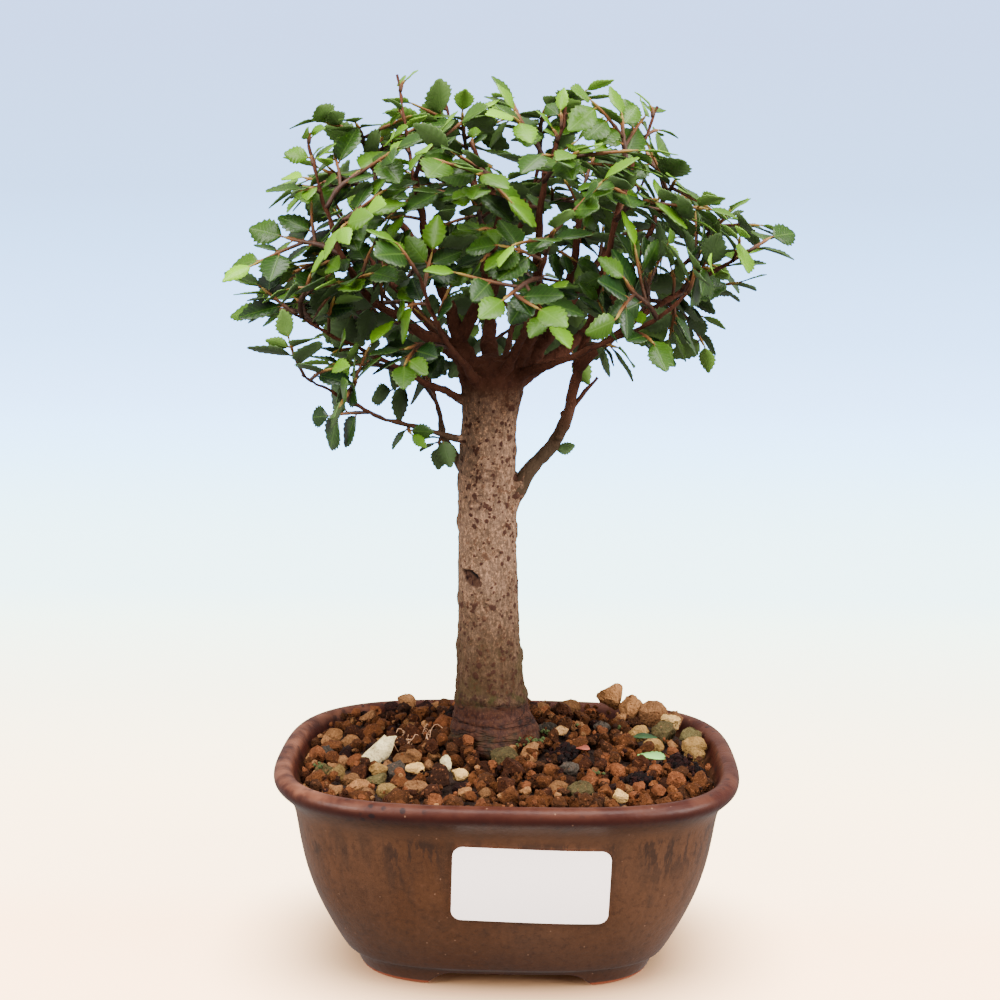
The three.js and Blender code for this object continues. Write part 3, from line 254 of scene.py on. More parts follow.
class BarkFinish(PropertyGroup):
    trunk: colour("Trunk", "Pale bark of the trunk", (158, 134, 114))
    pores: colour("Pores", "Raised marks in the bark", (84, 48, 34))
    base: colour("Root base", "Smooth bark above the roots", (88, 52, 37))
    limbs: colour("Limbs", "Bark of the limbs", (108, 65, 49))
    voxel: length("Voxel", "Cell of the mesh that the trunk is skinned with", 0.00055)


class LeafFinish(PropertyGroup):
    grown: colour("Grown leaf", "Upper side of a leaf of last year", (40, 70, 26))
    young: colour("Young leaf", "Upper side of a new leaf", (138, 176, 30))
    thickness: length("Thickness", "Thickness of a leaf blade", 0.00028)


class StudioFinish(PropertyGroup):
    power: FloatProperty(name="Light", description="Power of all lamps together", min=0, default=1)


# Shader maths

class Value:
    """A number that varies over a surface. Sums and products of it add Math nodes."""

    def __init__(self, look, socket):
        self.look, self.socket = look, socket

    def maths(self, operation, first, second):
        return self.look.maths(operation, first, second)

    def __add__(self, other):
        return self.maths("ADD", self, other)

    def __sub__(self, other):
        return self.maths("SUBTRACT", self, other)

    def __rsub__(self, other):
        return self.maths("SUBTRACT", other, self)

    def __mul__(self, other):
        return self.maths("MULTIPLY", self, other)

    def __pow__(self, other):
        return self.maths("POWER", self, other)

    __radd__ = __add__
    __rmul__ = __mul__

    def above(self, other):
        return self.maths("MAXIMUM", self, other)

    def size(self):
        """Without its sign"""
        return self.maths("ABSOLUTE", self, 0)

    def step(self, low, high):
        """0 up to low, 1 from high, and smooth between them; low may be the larger"""
        settings = {"interpolation_type": "SMOOTHSTEP"}
        inputs = {"Value": self, "From Min": low, "From Max": high}
        return self.look.value("ShaderNodeMapRange", settings, inputs, "Result")


class Look:
    """A material that is being put together"""

    def __init__(self, name, roughness, **constants):
        self.material = bpy.data.materials.new(name)
        self.material.use_nodes = True
        self.tree = self.material.node_tree
        self.shader = self.tree.nodes["Principled BSDF"]
        for socket, value in {"Roughness": roughness, **constants}.items():
            self.feed(self.shader.inputs[socket.replace("_", " ")], value)
        self.place = self.node("ShaderNodeTexCoord").outputs["Object"]

    def feed(self, socket, value):
        if isinstance(value, Value):
            value = value.socket
        if isinstance(value, bpy.types.NodeSocket):
            self.tree.links.new(value, socket)
        elif socket.type == "RGBA":
            socket.default_value = (*value[:3], 1)
        else:
            socket.default_value = value

    def node(self, kind, settings=None, inputs=None):
        made = self.tree.nodes.new(kind)
        for key, value in (settings or {}).items():
            if key == "stops":
                self.set_stops(made.color_ramp, value)
            else:
                setattr(made, key, value)
        for key, value in (inputs or {}).items():
            self.feed(made.inputs[key], value)
        return made

    def set_stops(self, ramp, stops):
        while len(ramp.elements) < len(stops):
            ramp.elements.new(0.5)
        for element, (place, shade) in zip(ramp.elements, stops):
            element.position = place
            element.color = (*shade[:3], 1)

    def value(self, kind, settings=None, inputs=None, output=0):
        return Value(self, self.node(kind, settings, inputs).outputs[output])

    def stretched(self, stretch):
        """Object coordinates with each axis multiplied"""
        return self.node("ShaderNodeMapping", {}, {"Vector": self.place, "Scale": stretch}).outputs[0]

    def noise(self, width, detail=3, rough=0.55, stretch=(1, 1, 1)):
        """Cloudy noise from 0 to 1, with features of a width in metres"""
        inputs = {"Vector": self.stretched(stretch), "Scale": 1 / width, "Detail": detail, "Roughness": rough}
        return self.value("ShaderNodeTexNoise", {}, inputs)

    def cells(self, width, stretch=(1, 1, 1)):
        """The distance to the nearest of points that stand about a width apart"""
        inputs = {"Vector": self.stretched(stretch), "Scale": 1 / width}
        return self.value("ShaderNodeTexVoronoi", {"feature": "F1"}, inputs, "Distance")

    def maths(self, operation, first, second=0):
        return self.value("ShaderNodeMath", {"operation": operation}, {0: first, 1: second})

    def axes(self):
        node = self.node("ShaderNodeSeparateXYZ", {}, {"Vector": self.place})
        return tuple(Value(self, node.outputs[axis]) for axis in "XYZ")

    def height(self):
        return self.axes()[2]

    def attribute(self, name):
        return self.value("ShaderNodeAttribute", {"attribute_name": name}, {}, "Fac")

    def tint(self, name):
        return self.node("ShaderNodeAttribute", {"attribute_name": name}).outputs["Color"]

    def mix(self, factor, first, second, blend="MIX"):
        settings = {"data_type": "RGBA", "blend_type": blend}
        return self.node("ShaderNodeMix", settings, {0: factor, 6: first, 7: second}).outputs[2]

    def coats(self, shade, *rows):
        """Lays tones over a shade one after another, each with its own mask, and from 0 to 255 or a socket"""
        for mask, tone in rows:
            shown = isinstance(tone, tuple)
            shade = self.mix(mask, shade, paint(*tone) if shown else tone)
        return shade

    def ramp(self, factor, stops):
        return self.node("ShaderNodeValToRGB", {"stops": stops}, {"Fac": factor}).outputs["Color"]

    def dress(self, shade, height=None, depth=0.0002, strength=1.0, roughness=None):
        self.feed(self.shader.inputs["Base Color"], shade)
        if roughness is not None:
            self.feed(self.shader.inputs["Roughness"], roughness)
        if height is not None:
            inputs = {"Height": height, "Distance": depth, "Strength": strength}
            self.feed(self.shader.inputs["Normal"], self.node("ShaderNodeBump", {}, inputs).outputs[0])
        return self.material


# Mesh work

def to_frame(points):
    """Millimetres from the middle of the pot, in the frame's metres"""
    return np.asarray(points, float) * MM + POT_MIDDLE


def middle_of(low, high):
    """The middle of a box of the frame, in millimetres from the middle of the pot"""
    return (np.array(low + high) / 2 - POT_MIDDLE) / MM


def only(piece):
    """Selects one object and nothing else"""
    bpy.ops.object.select_all(action="DESELECT")
    piece.select_set(True)
    bpy.context.view_layer.objects.active = piece


def corners(piece, field="co"):
    """A piece's vertices, or their normals, as rows of x, y and z"""
    found = np.zeros(len(piece.data.vertices) * 3)
    piece.data.vertices.foreach_get(field, found)
    return found.reshape(-1, 3)


def set_corners(piece, points):
    piece.data.vertices.foreach_set("co", np.asarray(points, float).ravel())
    piece.data.update()


def modify(piece, kind, **settings):
    only(piece)
    modifier = piece.modifiers.new(kind.title(), kind)
    for key, value in settings.items():
        setattr(modifier, key, value)
    bpy.ops.object.modifier_apply(modifier=modifier.name)


def mesh_piece(name, points, faces):
    data = bpy.data.meshes.new(name)
    data.from_pydata(to_frame(points).tolist(), [], faces)
    piece = bpy.data.objects.new(name, data)
    bpy.context.collection.objects.link(piece)
    return piece


class Batch:
    """Many shapes that become one mesh, with the numbers that the material reads for each vertex"""

    def __init__(self):
        self.points, self.faces, self.marks, self.count = [], [], [], 0

    def add(self, points, faces, marks=None):
        self.points.append(points)
        self.faces += [tuple(i + self.count for i in face) for face in faces]
        self.marks.append(marks)
        self.count += len(points)

    def piece(self, name):
        return mesh_piece(name, np.concatenate(self.points), self.faces)


def mark(piece, name, values, kind="FLOAT"):
    """Gives each vertex a number or a colour that the material reads"""
    attribute = piece.data.attributes.new(name, kind, "POINT")
    field = "color" if kind == "FLOAT_COLOR" else "value"
    attribute.data.foreach_set(field, np.asarray(values, np.float32).ravel())


def done(piece, slot, looks, *nodes, angle=None):
    """The last step of each piece: its place, shading, finish, body and the solids that it stands for"""
    only(piece)
    bpy.ops.object.transform_apply(location=True, rotation=True, scale=True)
    if angle is None:
        bpy.ops.object.shade_smooth()
    else:
        bpy.ops.object.shade_smooth_by_angle(angle=math.radians(angle))
    if looks:
        piece.data.materials.clear()
        for look in looks:
            piece.data.materials.append(look)
    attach(piece, "root")
    if nodes:
        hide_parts(*nodes)
    return piece


def rods(name, lines, roundness):
    """Rods of changing thickness along lines of x, y, z and radius, made a mesh"""
    data = bpy.data.curves.new(name, "CURVE")
    data.dimensions = "3D"
    data.bevel_depth = MM
    data.bevel_resolution = roundness
    data.use_fill_caps = True
    for line in lines:
        spline = data.splines.new("POLY")
        spline.points.add(len(line) - 1)
        place = np.hstack((to_frame(line[:, :3]), np.ones((len(line), 1))))
        spline.points.foreach_set("co", place.ravel())
        spline.points.foreach_set("radius", line[:, 3].copy())
    piece = bpy.data.objects.new(name, data)
    bpy.context.collection.objects.link(piece)
    only(piece)
    bpy.ops.object.convert(target="MESH")
    return bpy.context.object


def half_plan(inset):
    return (POT_HALF[0] - inset) * MM, (POT_HALF[1] - inset) * MM


def plan_reach(x, y, inset):
    """Below 1 inside the pot's plan at an inset, and above 1 outside it"""
    a, b = POT_HALF[0] - inset, POT_HALF[1] - inset
    return np.abs(np.asarray(x) / a) ** PLAN_CORNER + np.abs(np.asarray(y) / b) ** PLAN_CORNER


def loft(name, steps, around=48):
    """A circle shaped to the pot's plan, then extruded and resized step by step"""
    x, y, _ = POT_MIDDLE
    inset, z = steps[0]
    a, b = half_plan(inset)
    bpy.ops.object.select_all(action="DESELECT")
    bpy.ops.mesh.primitive_circle_add(vertices=around, radius=1, fill_type="NGON", location=(x, y, z * MM))
    piece = bpy.context.object
    piece.name = name
    flat = corners(piece)
    turn = np.arctan2(flat[:, 1], flat[:, 0])
    reach = (np.abs(np.cos(turn) / a) ** PLAN_CORNER + np.abs(np.sin(turn) / b) ** PLAN_CORNER)
    reach **= -1 / PLAN_CORNER
    set_corners(piece, np.stack((reach * np.cos(turn), reach * np.sin(turn), 0 * turn), 1))
    bpy.ops.object.mode_set(mode="EDIT")
    bpy.ops.mesh.select_all(action="SELECT")
    for next_inset, next_z in steps[1:]:
        wide, deep = half_plan(next_inset)
        rise = {"value": (0, 0, (next_z - z) * MM)}
        bpy.ops.mesh.extrude_region_move(TRANSFORM_OT_translate=rise)
        bpy.ops.transform.resize(value=(wide / a, deep / b, 1), center_override=(x, y, next_z * MM))
        a, b, z = wide, deep, next_z
    bpy.ops.mesh.select_all(action="SELECT")
    bpy.ops.mesh.normals_make_consistent(inside=False)
    bpy.ops.object.mode_set(mode="OBJECT")
    return piece


def cut(piece, tool, operation="DIFFERENCE"):
    """Cuts or joins a tool into a piece and takes the tool away"""
    modify(piece, "BOOLEAN", object=tool, operation=operation, solver="EXACT")
    bpy.data.objects.remove(tool, do_unlink=True)


def block(half, aside, z_low, z_high, slope, round_top):
    """A cutter that is wide at the floor and rounded at its top edges"""
    x, y, _ = POT_MIDDLE
    bpy.ops.object.select_all(action="DESELECT")
    bpy.ops.mesh.primitive_cube_add(size=2, location=(x + aside * MM, y, (z_low + z_high) / 2 * MM))
    tool = bpy.context.object
    shape = corners(tool)
    along_x = half[0] < half[1]
    grow = np.where(shape[:, 2] < 0, slope, 0)
    shape[:, 0] *= (half[0] + grow * along_x) * MM
    shape[:, 1] *= (half[1] + grow * (not along_x)) * MM
    shape[:, 2] *= (z_high - z_low) / 2 * MM
    set_corners(tool, shape)
    for edge in tool.data.edges:
        ends = shape[list(edge.vertices)]
        runs_along = abs(ends[0][1 if along_x else 0] - ends[1][1 if along_x else 0]) > 2 * half[0] * MM * 0.9
        edge.select = bool((ends[:, 2] > 0).all() and (runs_along or not along_x))
    bpy.ops.object.mode_set(mode="EDIT")
    bpy.ops.mesh.select_mode(type="EDGE")
    bpy.ops.mesh.bevel(offset=round_top * MM, segments=4, affect="EDGES")
    bpy.ops.object.mode_set(mode="OBJECT")
    return tool


# Growth of the crown, by the same rule and the same draws as the solids

def chance(seed):
    """The same seed always draws the same numbers."""
    draws = 2147483647
    state = (seed * 7919 + 104729) % draws

    def draw():
        nonlocal state
        state = state * 16807 % draws
        return state / draws

    return draw


def dot(a, b):
    return a[..., 0] * b[..., 0] + a[..., 1] * b[..., 1] + a[..., 2] * b[..., 2]


def size(a):
    return np.sqrt(dot(a, a))


def unit(a):
    return a * (1 / size(a))


def cross(a, b):
    return np.array((
        a[1] * b[2] - a[2] * b[1],
        a[2] * b[0] - a[0] * b[2],
        a[0] * b[1] - a[1] * b[0],
    ))


def between(ends, t):
    """From the first end at 0 to the second at 1"""
    return ends[0] + (ends[1] - ends[0]) * t


def sway_of(draw):
    return np.array([draw() - 0.5 for _ in range(3)])


def along(points, t):
    """A point on the smooth curve through the points, with t from 0 to 1."""
    last = len(points) - 1
    place = min(max(t, 0), 1) * last
    i = min(math.floor(place), last - 1)
    w = place - i
    before = points[i - 1] if i > 0 else points[0] * 2 - points[1]
    after = points[i + 2] if i + 2 <= last else points[last] * 2 - points[last - 1]
    start, end = points[i], points[i + 1]
    leave = 0.5 * (end - before)
    arrive = 0.5 * (after - start)
    square = 3 * (end - start) - 2 * leave - arrive
    cube = leave + arrive - 2 * (end - start)
    return start + leave * w + square * w * w + cube * w * w * w


def heading(points, t):
    return unit(along(points, min(t + 0.02, 1)) - along(points, max(t - 0.02, 0)))


def breadth(u):
    """How wide a leaf is at u along it, as a share of its half width"""
    return np.sin(math.pi * np.clip(u, 0, 1) ** 0.85) ** 0.75


class Leaf:
    def __init__(self, root, axis, side, up, length, half, droop):
        self.root, self.axis, self.side, self.up = root, axis, side, up
        self.length, self.half, self.droop = length, half, droop
        u, v = np.meshgrid((0.2, 0.32, 0.44, 0.56, 0.68, 0.8, 0.92, 1), (-0.9, -0.45, 0, 0.45, 0.9),
                           indexing="ij")
        self.samples = self.at(u.ravel(), (v * breadth(u)).ravel(), np.zeros(u.size))

    def at(self, u, v, w):
        """Points on the leaf: u along it, v across it as a share of its half width, w above it"""
        u, v, w = (np.asarray(x, float)[..., None] for x in (u, v, w))
        flat = self.root + self.axis * (u * self.length)
        return flat + (self.side * (v * self.half) + self.up * (w - self.droop * u * u))

    def holds(self, points, clear):
        q = points - self.root
        x = dot(q, self.axis)
        u = x / self.length
        wide = self.half * breadth(np.clip(u, 0.25, 0.8))
        inside = (x >= 0) & (x <= self.length + clear) & (np.abs(dot(q, self.side)) <= wide + clear)
        return inside & (np.abs(dot(q, self.up) + self.droop * u * u) < LEAF_THICK + clear)


class Shoot:
    def __init__(self, points, radii, wish):
        self.points, self.radii, self.buds = points, radii, []
        span = points[-1] - points[0]
        ahead = unit(span)
        self.face = unit(wish - ahead * dot(wish, ahead))
        self.length = size(span)

    def facing(self, t):
        ahead = heading(self.points, t)
        return unit(self.face - ahead * dot(self.face, ahead))

    def free(self, t, hand):
        """Whether a leaf's foot has room beside those that are on its side of the shoot"""
        return all(side != hand or abs(at - t) * self.length > 1.6 * LEAF_FOOT
                   for at, side, _ in self.buds)


class Spray:
    def __init__(self, number, draw, stem):
        self.number, self.draw, self.shoots, self.leaves = number, draw, [stem], []

    def places(self):
        """The places of the leaves along each shoot, from its tip down, on alternate sides"""
        for s, shoot in enumerate(self.shoots):
            bare = 0.25 if s else 0.3
            steps = max(2, math.floor(shoot.length * (1 - bare) / PACE + 0.5))
            for k in range(steps + 1):
                yield shoot, 1 - (1 - bare) * k / steps, 1 if k % 2 else -1, k


def spray_tips():
    """Tips spread evenly over the crown's dome, then those that end away from it"""
    draw = chance(7)
    golden = math.pi * (3 - math.sqrt(5))
    low = math.cos(CROWN_LOWEST * math.pi / 180)
    for i in range(CROWN_SPRAYS):
        up = 1 - ((i + 0.5) / CROWN_SPRAYS) * (1 - low)
        out = math.sqrt(1 - up * up)
        reach = 0.9 + 0.14 * draw()
        rise = CROWN_REACH[2] if up > 0 else CROWN_DROP
        tip = np.array((
            CROWN_CENTRE[0] + CROWN_REACH[0] * out * math.cos(i * golden) * reach,
            CROWN_CENTRE[1] + CROWN_REACH[1] * out * math.sin(i * golden) * reach,
            CROWN_CENTRE[2] + rise * up * reach,
        ))
        if not (tip[1] < 0 and tip[2] < SPRAYS_FROM and abs(tip[0] - CROWN_CENTRE[0]) < CROWN_OPEN):
            yield tip
    yield from np.array(OTHER_SPRAYS, float)


class Growth:
    """The crown, with what its shoots and leaves must keep clear of: short rods and thin blades"""

    def __init__(self):
        self.rods, self.owners, self.blades, self.blade_table = [], [], [], []
        self.roots, self.sprays = [], []
        for radii, *points in LIMBS + STUBS:
            self.lay(np.array(points, float), radii, 0, 6)
        for below, above in zip(TRUNK[5:], TRUNK[6:]):
            self.rods.append((*below[:3], *above))
            self.owners.append(0)
        self.freeze()

    def lay(self, points, radii, owner, steps):
        for k in range(steps):
            t = k / steps
            ends = (*along(points, t), *along(points, (k + 1) / steps))
            self.rods.append((*ends, between(radii, t)))
            self.owners.append(owner)

    def freeze(self):
        self.rod_table = np.array(self.rods)
        self.owner_table = np.array(self.owners)

    def gaps(self, points, rods):
        """The gap from each point to each rod"""
        start, end, radius = rods[:, :3], rods[:, 3:6], rods[:, 6]
        span = end - start
        away = points[:, None, :] - start
        t = np.clip(dot(away, span) / dot(span, span), 0, 1)
        return size(points[:, None, :] - (start + span * t[..., None])) - radius

    def clear(self, points, owner, near, least):
        """Whether a path keeps its distance from all rods but, near its root, those it grows from"""
        places = np.array([along(points, k / 24) for k in range(1, 25)])
        rooted = size(places - points[0]) < near
        close = self.gaps(places, self.rod_table) < least
        return not (close & ~(rooted[:, None] & (self.owner_table == owner))).any()

    def fits(self, leaf, owner, least):
        """Whether a leaf keeps its distance from all rods but its own at its foot, and from all leaves"""
        near = self.gaps(leaf.at(0.5, 0, 0)[None], self.rod_table)[0] <= leaf.length
        gaps = self.gaps(leaf.samples, self.rod_table[near])
        gaps[:10, self.owner_table[near] == owner] = math.inf
        if (gaps < least).any():
            return False
        if not self.blades:
            return True
        table = np.array(self.blade_table)
        close = size(table[:, :3] - leaf.root) <= leaf.length + table[:, 3] + 3
        for i in np.flatnonzero(close):
            other = self.blades[i]
            if other.holds(leaf.samples, least).any() or leaf.holds(other.samples, least).any():
                return False
        return True

    def limb_for(self, tip):
        """The place on the limbs that a spray with this tip grows from"""
        best = None
        for _, *points in LIMBS:
            points = np.array(points, float)
            for k in range(9, 31):
                t = k / 30
                at = along(points, t)
                if any(size(root - at) < 5 for root in self.roots):
                    continue
                far = size(tip - at)
                lead = dot(unit(tip - at), heading(points, t))
                cost = far * (1 + 0.5 * (1 - lead))
                cost += 40 * (far < 15) + 8 * (tip[2] - at[2] < -6)
                if best is None or cost < best[0]:
                    best = (cost, at, heading(points, t))
        return best[1:]

    def stem(self, tip, number):
        draw = chance(100 + number)
        root, ahead = self.limb_for(tip)
        span = tip - root
        far = size(span)
        for _ in range(8):
            bend = sway_of(draw) * (0.07 * far)
            third = (root + span * 0.33) + (ahead * (0.08 * far) + bend)
            two_thirds = (root + span * 0.68) + (np.array((0, 0, 0.03 * far)) + bend)
            points = np.array((root, third, two_thirds, tip))
            if self.clear(points, 0, near=7, least=1.9):
                self.roots.append(root)
                out = unit(along(points, 0.5) - CROWN_CENTRE)
                wish = (np.array((0, 0, 0.85)) + out * 0.7) + sway_of(draw) * 0.9
                return Spray(number, draw, Shoot(points, STEM_RADII, wish))
        return None

    def twigs(self, spray):
        draw, stem = spray.draw, spray.shoots[0]
        count = 3 if stem.length > 24 else 2
        for k in range(count):
            t = 0.4 + (0.85 - 0.4) * k / count + 0.05 * draw()
            hand = 1 if (k + spray.number) % 2 else -1
            ahead = heading(stem.points, t)
            up = stem.facing(t)
            left = cross(up, ahead)
            root = along(stem.points, t) + left * (hand * STEM_RADII[1])
            for _ in range(6):
                lift = up * (0.5 * (draw() - 0.4))
                out = unit(ahead * 0.6 + left * (hand * (0.7 + 0.4 * draw())) + lift)
                reach = 13 + 8 * draw()
                end = root + out * reach
                points = np.array((root, root * 0.5 + end * 0.5 + ahead * (0.03 * reach), end))
                if self.clear(points, spray.number, near=4, least=1.7):
                    twig = Shoot(points, TWIG_RADII, up + sway_of(draw) * 0.6)
                    stem.buds.append((t, hand, twig))
                    spray.shoots.append(twig)
                    self.lay(points, TWIG_RADII, spray.number, 3)
                    self.freeze()
                    break

    def leaf(self, shoot, t, hand, spray, draw, least=1.0, smaller=1.0, level=0.35):
        """Tries up to eight leaves at a place and keeps the first that has room"""
        last = t == 1
        ahead = heading(shoot.points, t)
        up = shoot.facing(t)
        left = cross(up, ahead)
        middle = along(shoot.points, t)
        out = unit(middle - CROWN_CENTRE)
        scale = between(LEAF_SIZES, draw()) * (0.88 if last else 1) * smaller
        half = 0.5 * LEAF_WIDTH * scale * (0.92 + 0.16 * draw())
        droop = between(LEAF_DROOPS, draw())
        wide = between(shoot.radii, t)
        root = middle + left * (0 if last else hand * wide)
        for tries in range(8):
            sway = sway_of(draw)
            spread = 0.5 * (draw() - 0.5) if last else hand * (0.6 + 0.5 * draw())
            sink = up * (0.7 * (draw() - 0.75))
            aim = unit((ahead * (1 if last else 0.62) + left * spread) + sink)
            lean = out * 0.55 + sway * (1.1 + 0.1 * tries)
            wish = (up * 0.8 + np.array((0, 0, level))) + lean
            face = unit(wish - aim * dot(wish, aim))
            leaf = Leaf(root, aim, cross(face, aim), face, LEAF_LENGTH * scale, half, droop)
            if dot(face, up) > 0.3 and self.fits(leaf, spray.number, least):
                self.blades.append(leaf)
                self.blade_table.append((*leaf.root, leaf.length))
                spray.leaves.append(leaf)
                shoot.buds.append((t, 0 if last else hand, leaf))
                leaf.tip_distance = (1 - t) * shoot.length
                return leaf
        return None

    def grow(self):
        for number, tip in enumerate(spray_tips(), 1):
            spray = self.stem(tip, number)
            if spray:
                self.lay(spray.shoots[0].points, STEM_RADII, number, 6)
                self.freeze()
                self.sprays.append(spray)
        for spray in self.sprays:
            self.twigs(spray)
        for tips in (True, False):
            for spray in self.sprays:
                for shoot, t, hand, k in spray.places():
                    chosen = k == 0 if tips else k > 0 and k % 3 == 0
                    if chosen and shoot.free(t, hand):
                        self.leaf(shoot, t, hand, spray, spray.draw)
        self.sprays = [spray for spray in self.sprays if len(spray.leaves) > 1]

    def fill(self):
        """The leaves that the solids leave out: those at every place between, and some on the far side"""
        for spray in self.sprays:
            draw = chance(900 + spray.number)
            for shoot, t, hand, k in list(spray.places()):
                x, y, z = along(shoot.points, t) - CROWN_CENTRE
                open_front = y < 4 and -22 < z < 16 and abs(x) < 1.3 * CROWN_OPEN
                if k % 3 and not (open_front and draw() < 0.75):
                    self.leaf(shoot, t, hand, spray, draw, FILL_CLEAR, smaller=0.94, level=0.4)
                if k and draw() < (0.15 if open_front else 0.5):
                    self.leaf(shoot, t, -hand, spray, draw, FILL_CLEAR, smaller=0.82, level=0.6)

    def depth(self, point):
        """Below 1 inside the crown's dome, and above 1 outside it"""
        return float(((point - CROWN_CENTRE) ** 2 / np.array(CROWN_REACH) ** 2).sum())

    def short_shoots(self):
        """Short shoots along the limbs and stubs, which the solids leave out"""
        made = []
        for number, (_, *points) in enumerate(LIMBS + STUBS[:-1]):
            points = np.array(points, float)
            draw = chance(2000 + number)
            kind = SHORT_SHOOTS if number < len(LIMBS) else STUB_SHOOTS
            lone = LONE_SHOOTS.get(number, ())
            for place in kind["places"] + lone:
                t = min(1, place + 0.05 * (draw() - 0.5))
                lengths = (STUB_SHOOTS if place in lone else kind)["lengths"]
                root, ahead = along(points, t), heading(points, t)
                bound = max(1.02, self.depth(root) + 0.3)
                for _ in range(6):
                    out = unit(root - CROWN_CENTRE)
                    aim = unit(ahead * (0.5 + (place == 1)) + sway_of(draw) * 2.2 + out * 0.3)
                    tip = root + aim * between(lengths, draw())
                    low_front = tip[2] < SHORT_SHOOTS_FROM and tip[1] < 0
                    in_view = low_front and abs(tip[0] - CROWN_CENTRE[0]) < CROWN_OPEN
                    if place not in lone and (in_view or self.depth(tip) > bound):
                        continue
                    path = np.array((root, root * 0.5 + tip * 0.5 + ahead * 0.8, tip))
                    if self.clear(path, 0, near=6, least=0.8):
                        shoot = Shoot(path, TWIG_RADII, np.array((0, 0, 0.9)) + out * 0.5 + sway_of(draw))
                        spray = Spray(3000 + len(made), draw, shoot)
                        self.lay(path, TWIG_RADII, spray.number, 2)
                        self.freeze()
                        made.append(spray)
                        break
        for spray in made:
            smaller = min(1, 0.4 + spray.shoots[0].length / 16)
            for shoot, t, hand, k in list(spray.places()):
                self.leaf(shoot, t, hand, spray, spray.draw, FILL_CLEAR, 0.95 * smaller, level=0.3)
                if k and spray.draw() < 0.5:
                    self.leaf(shoot, t, -hand, spray, spray.draw, FILL_CLEAR, 0.75 * smaller, level=0.7)
        return [spray for spray in made if spray.leaves]


# The pieces

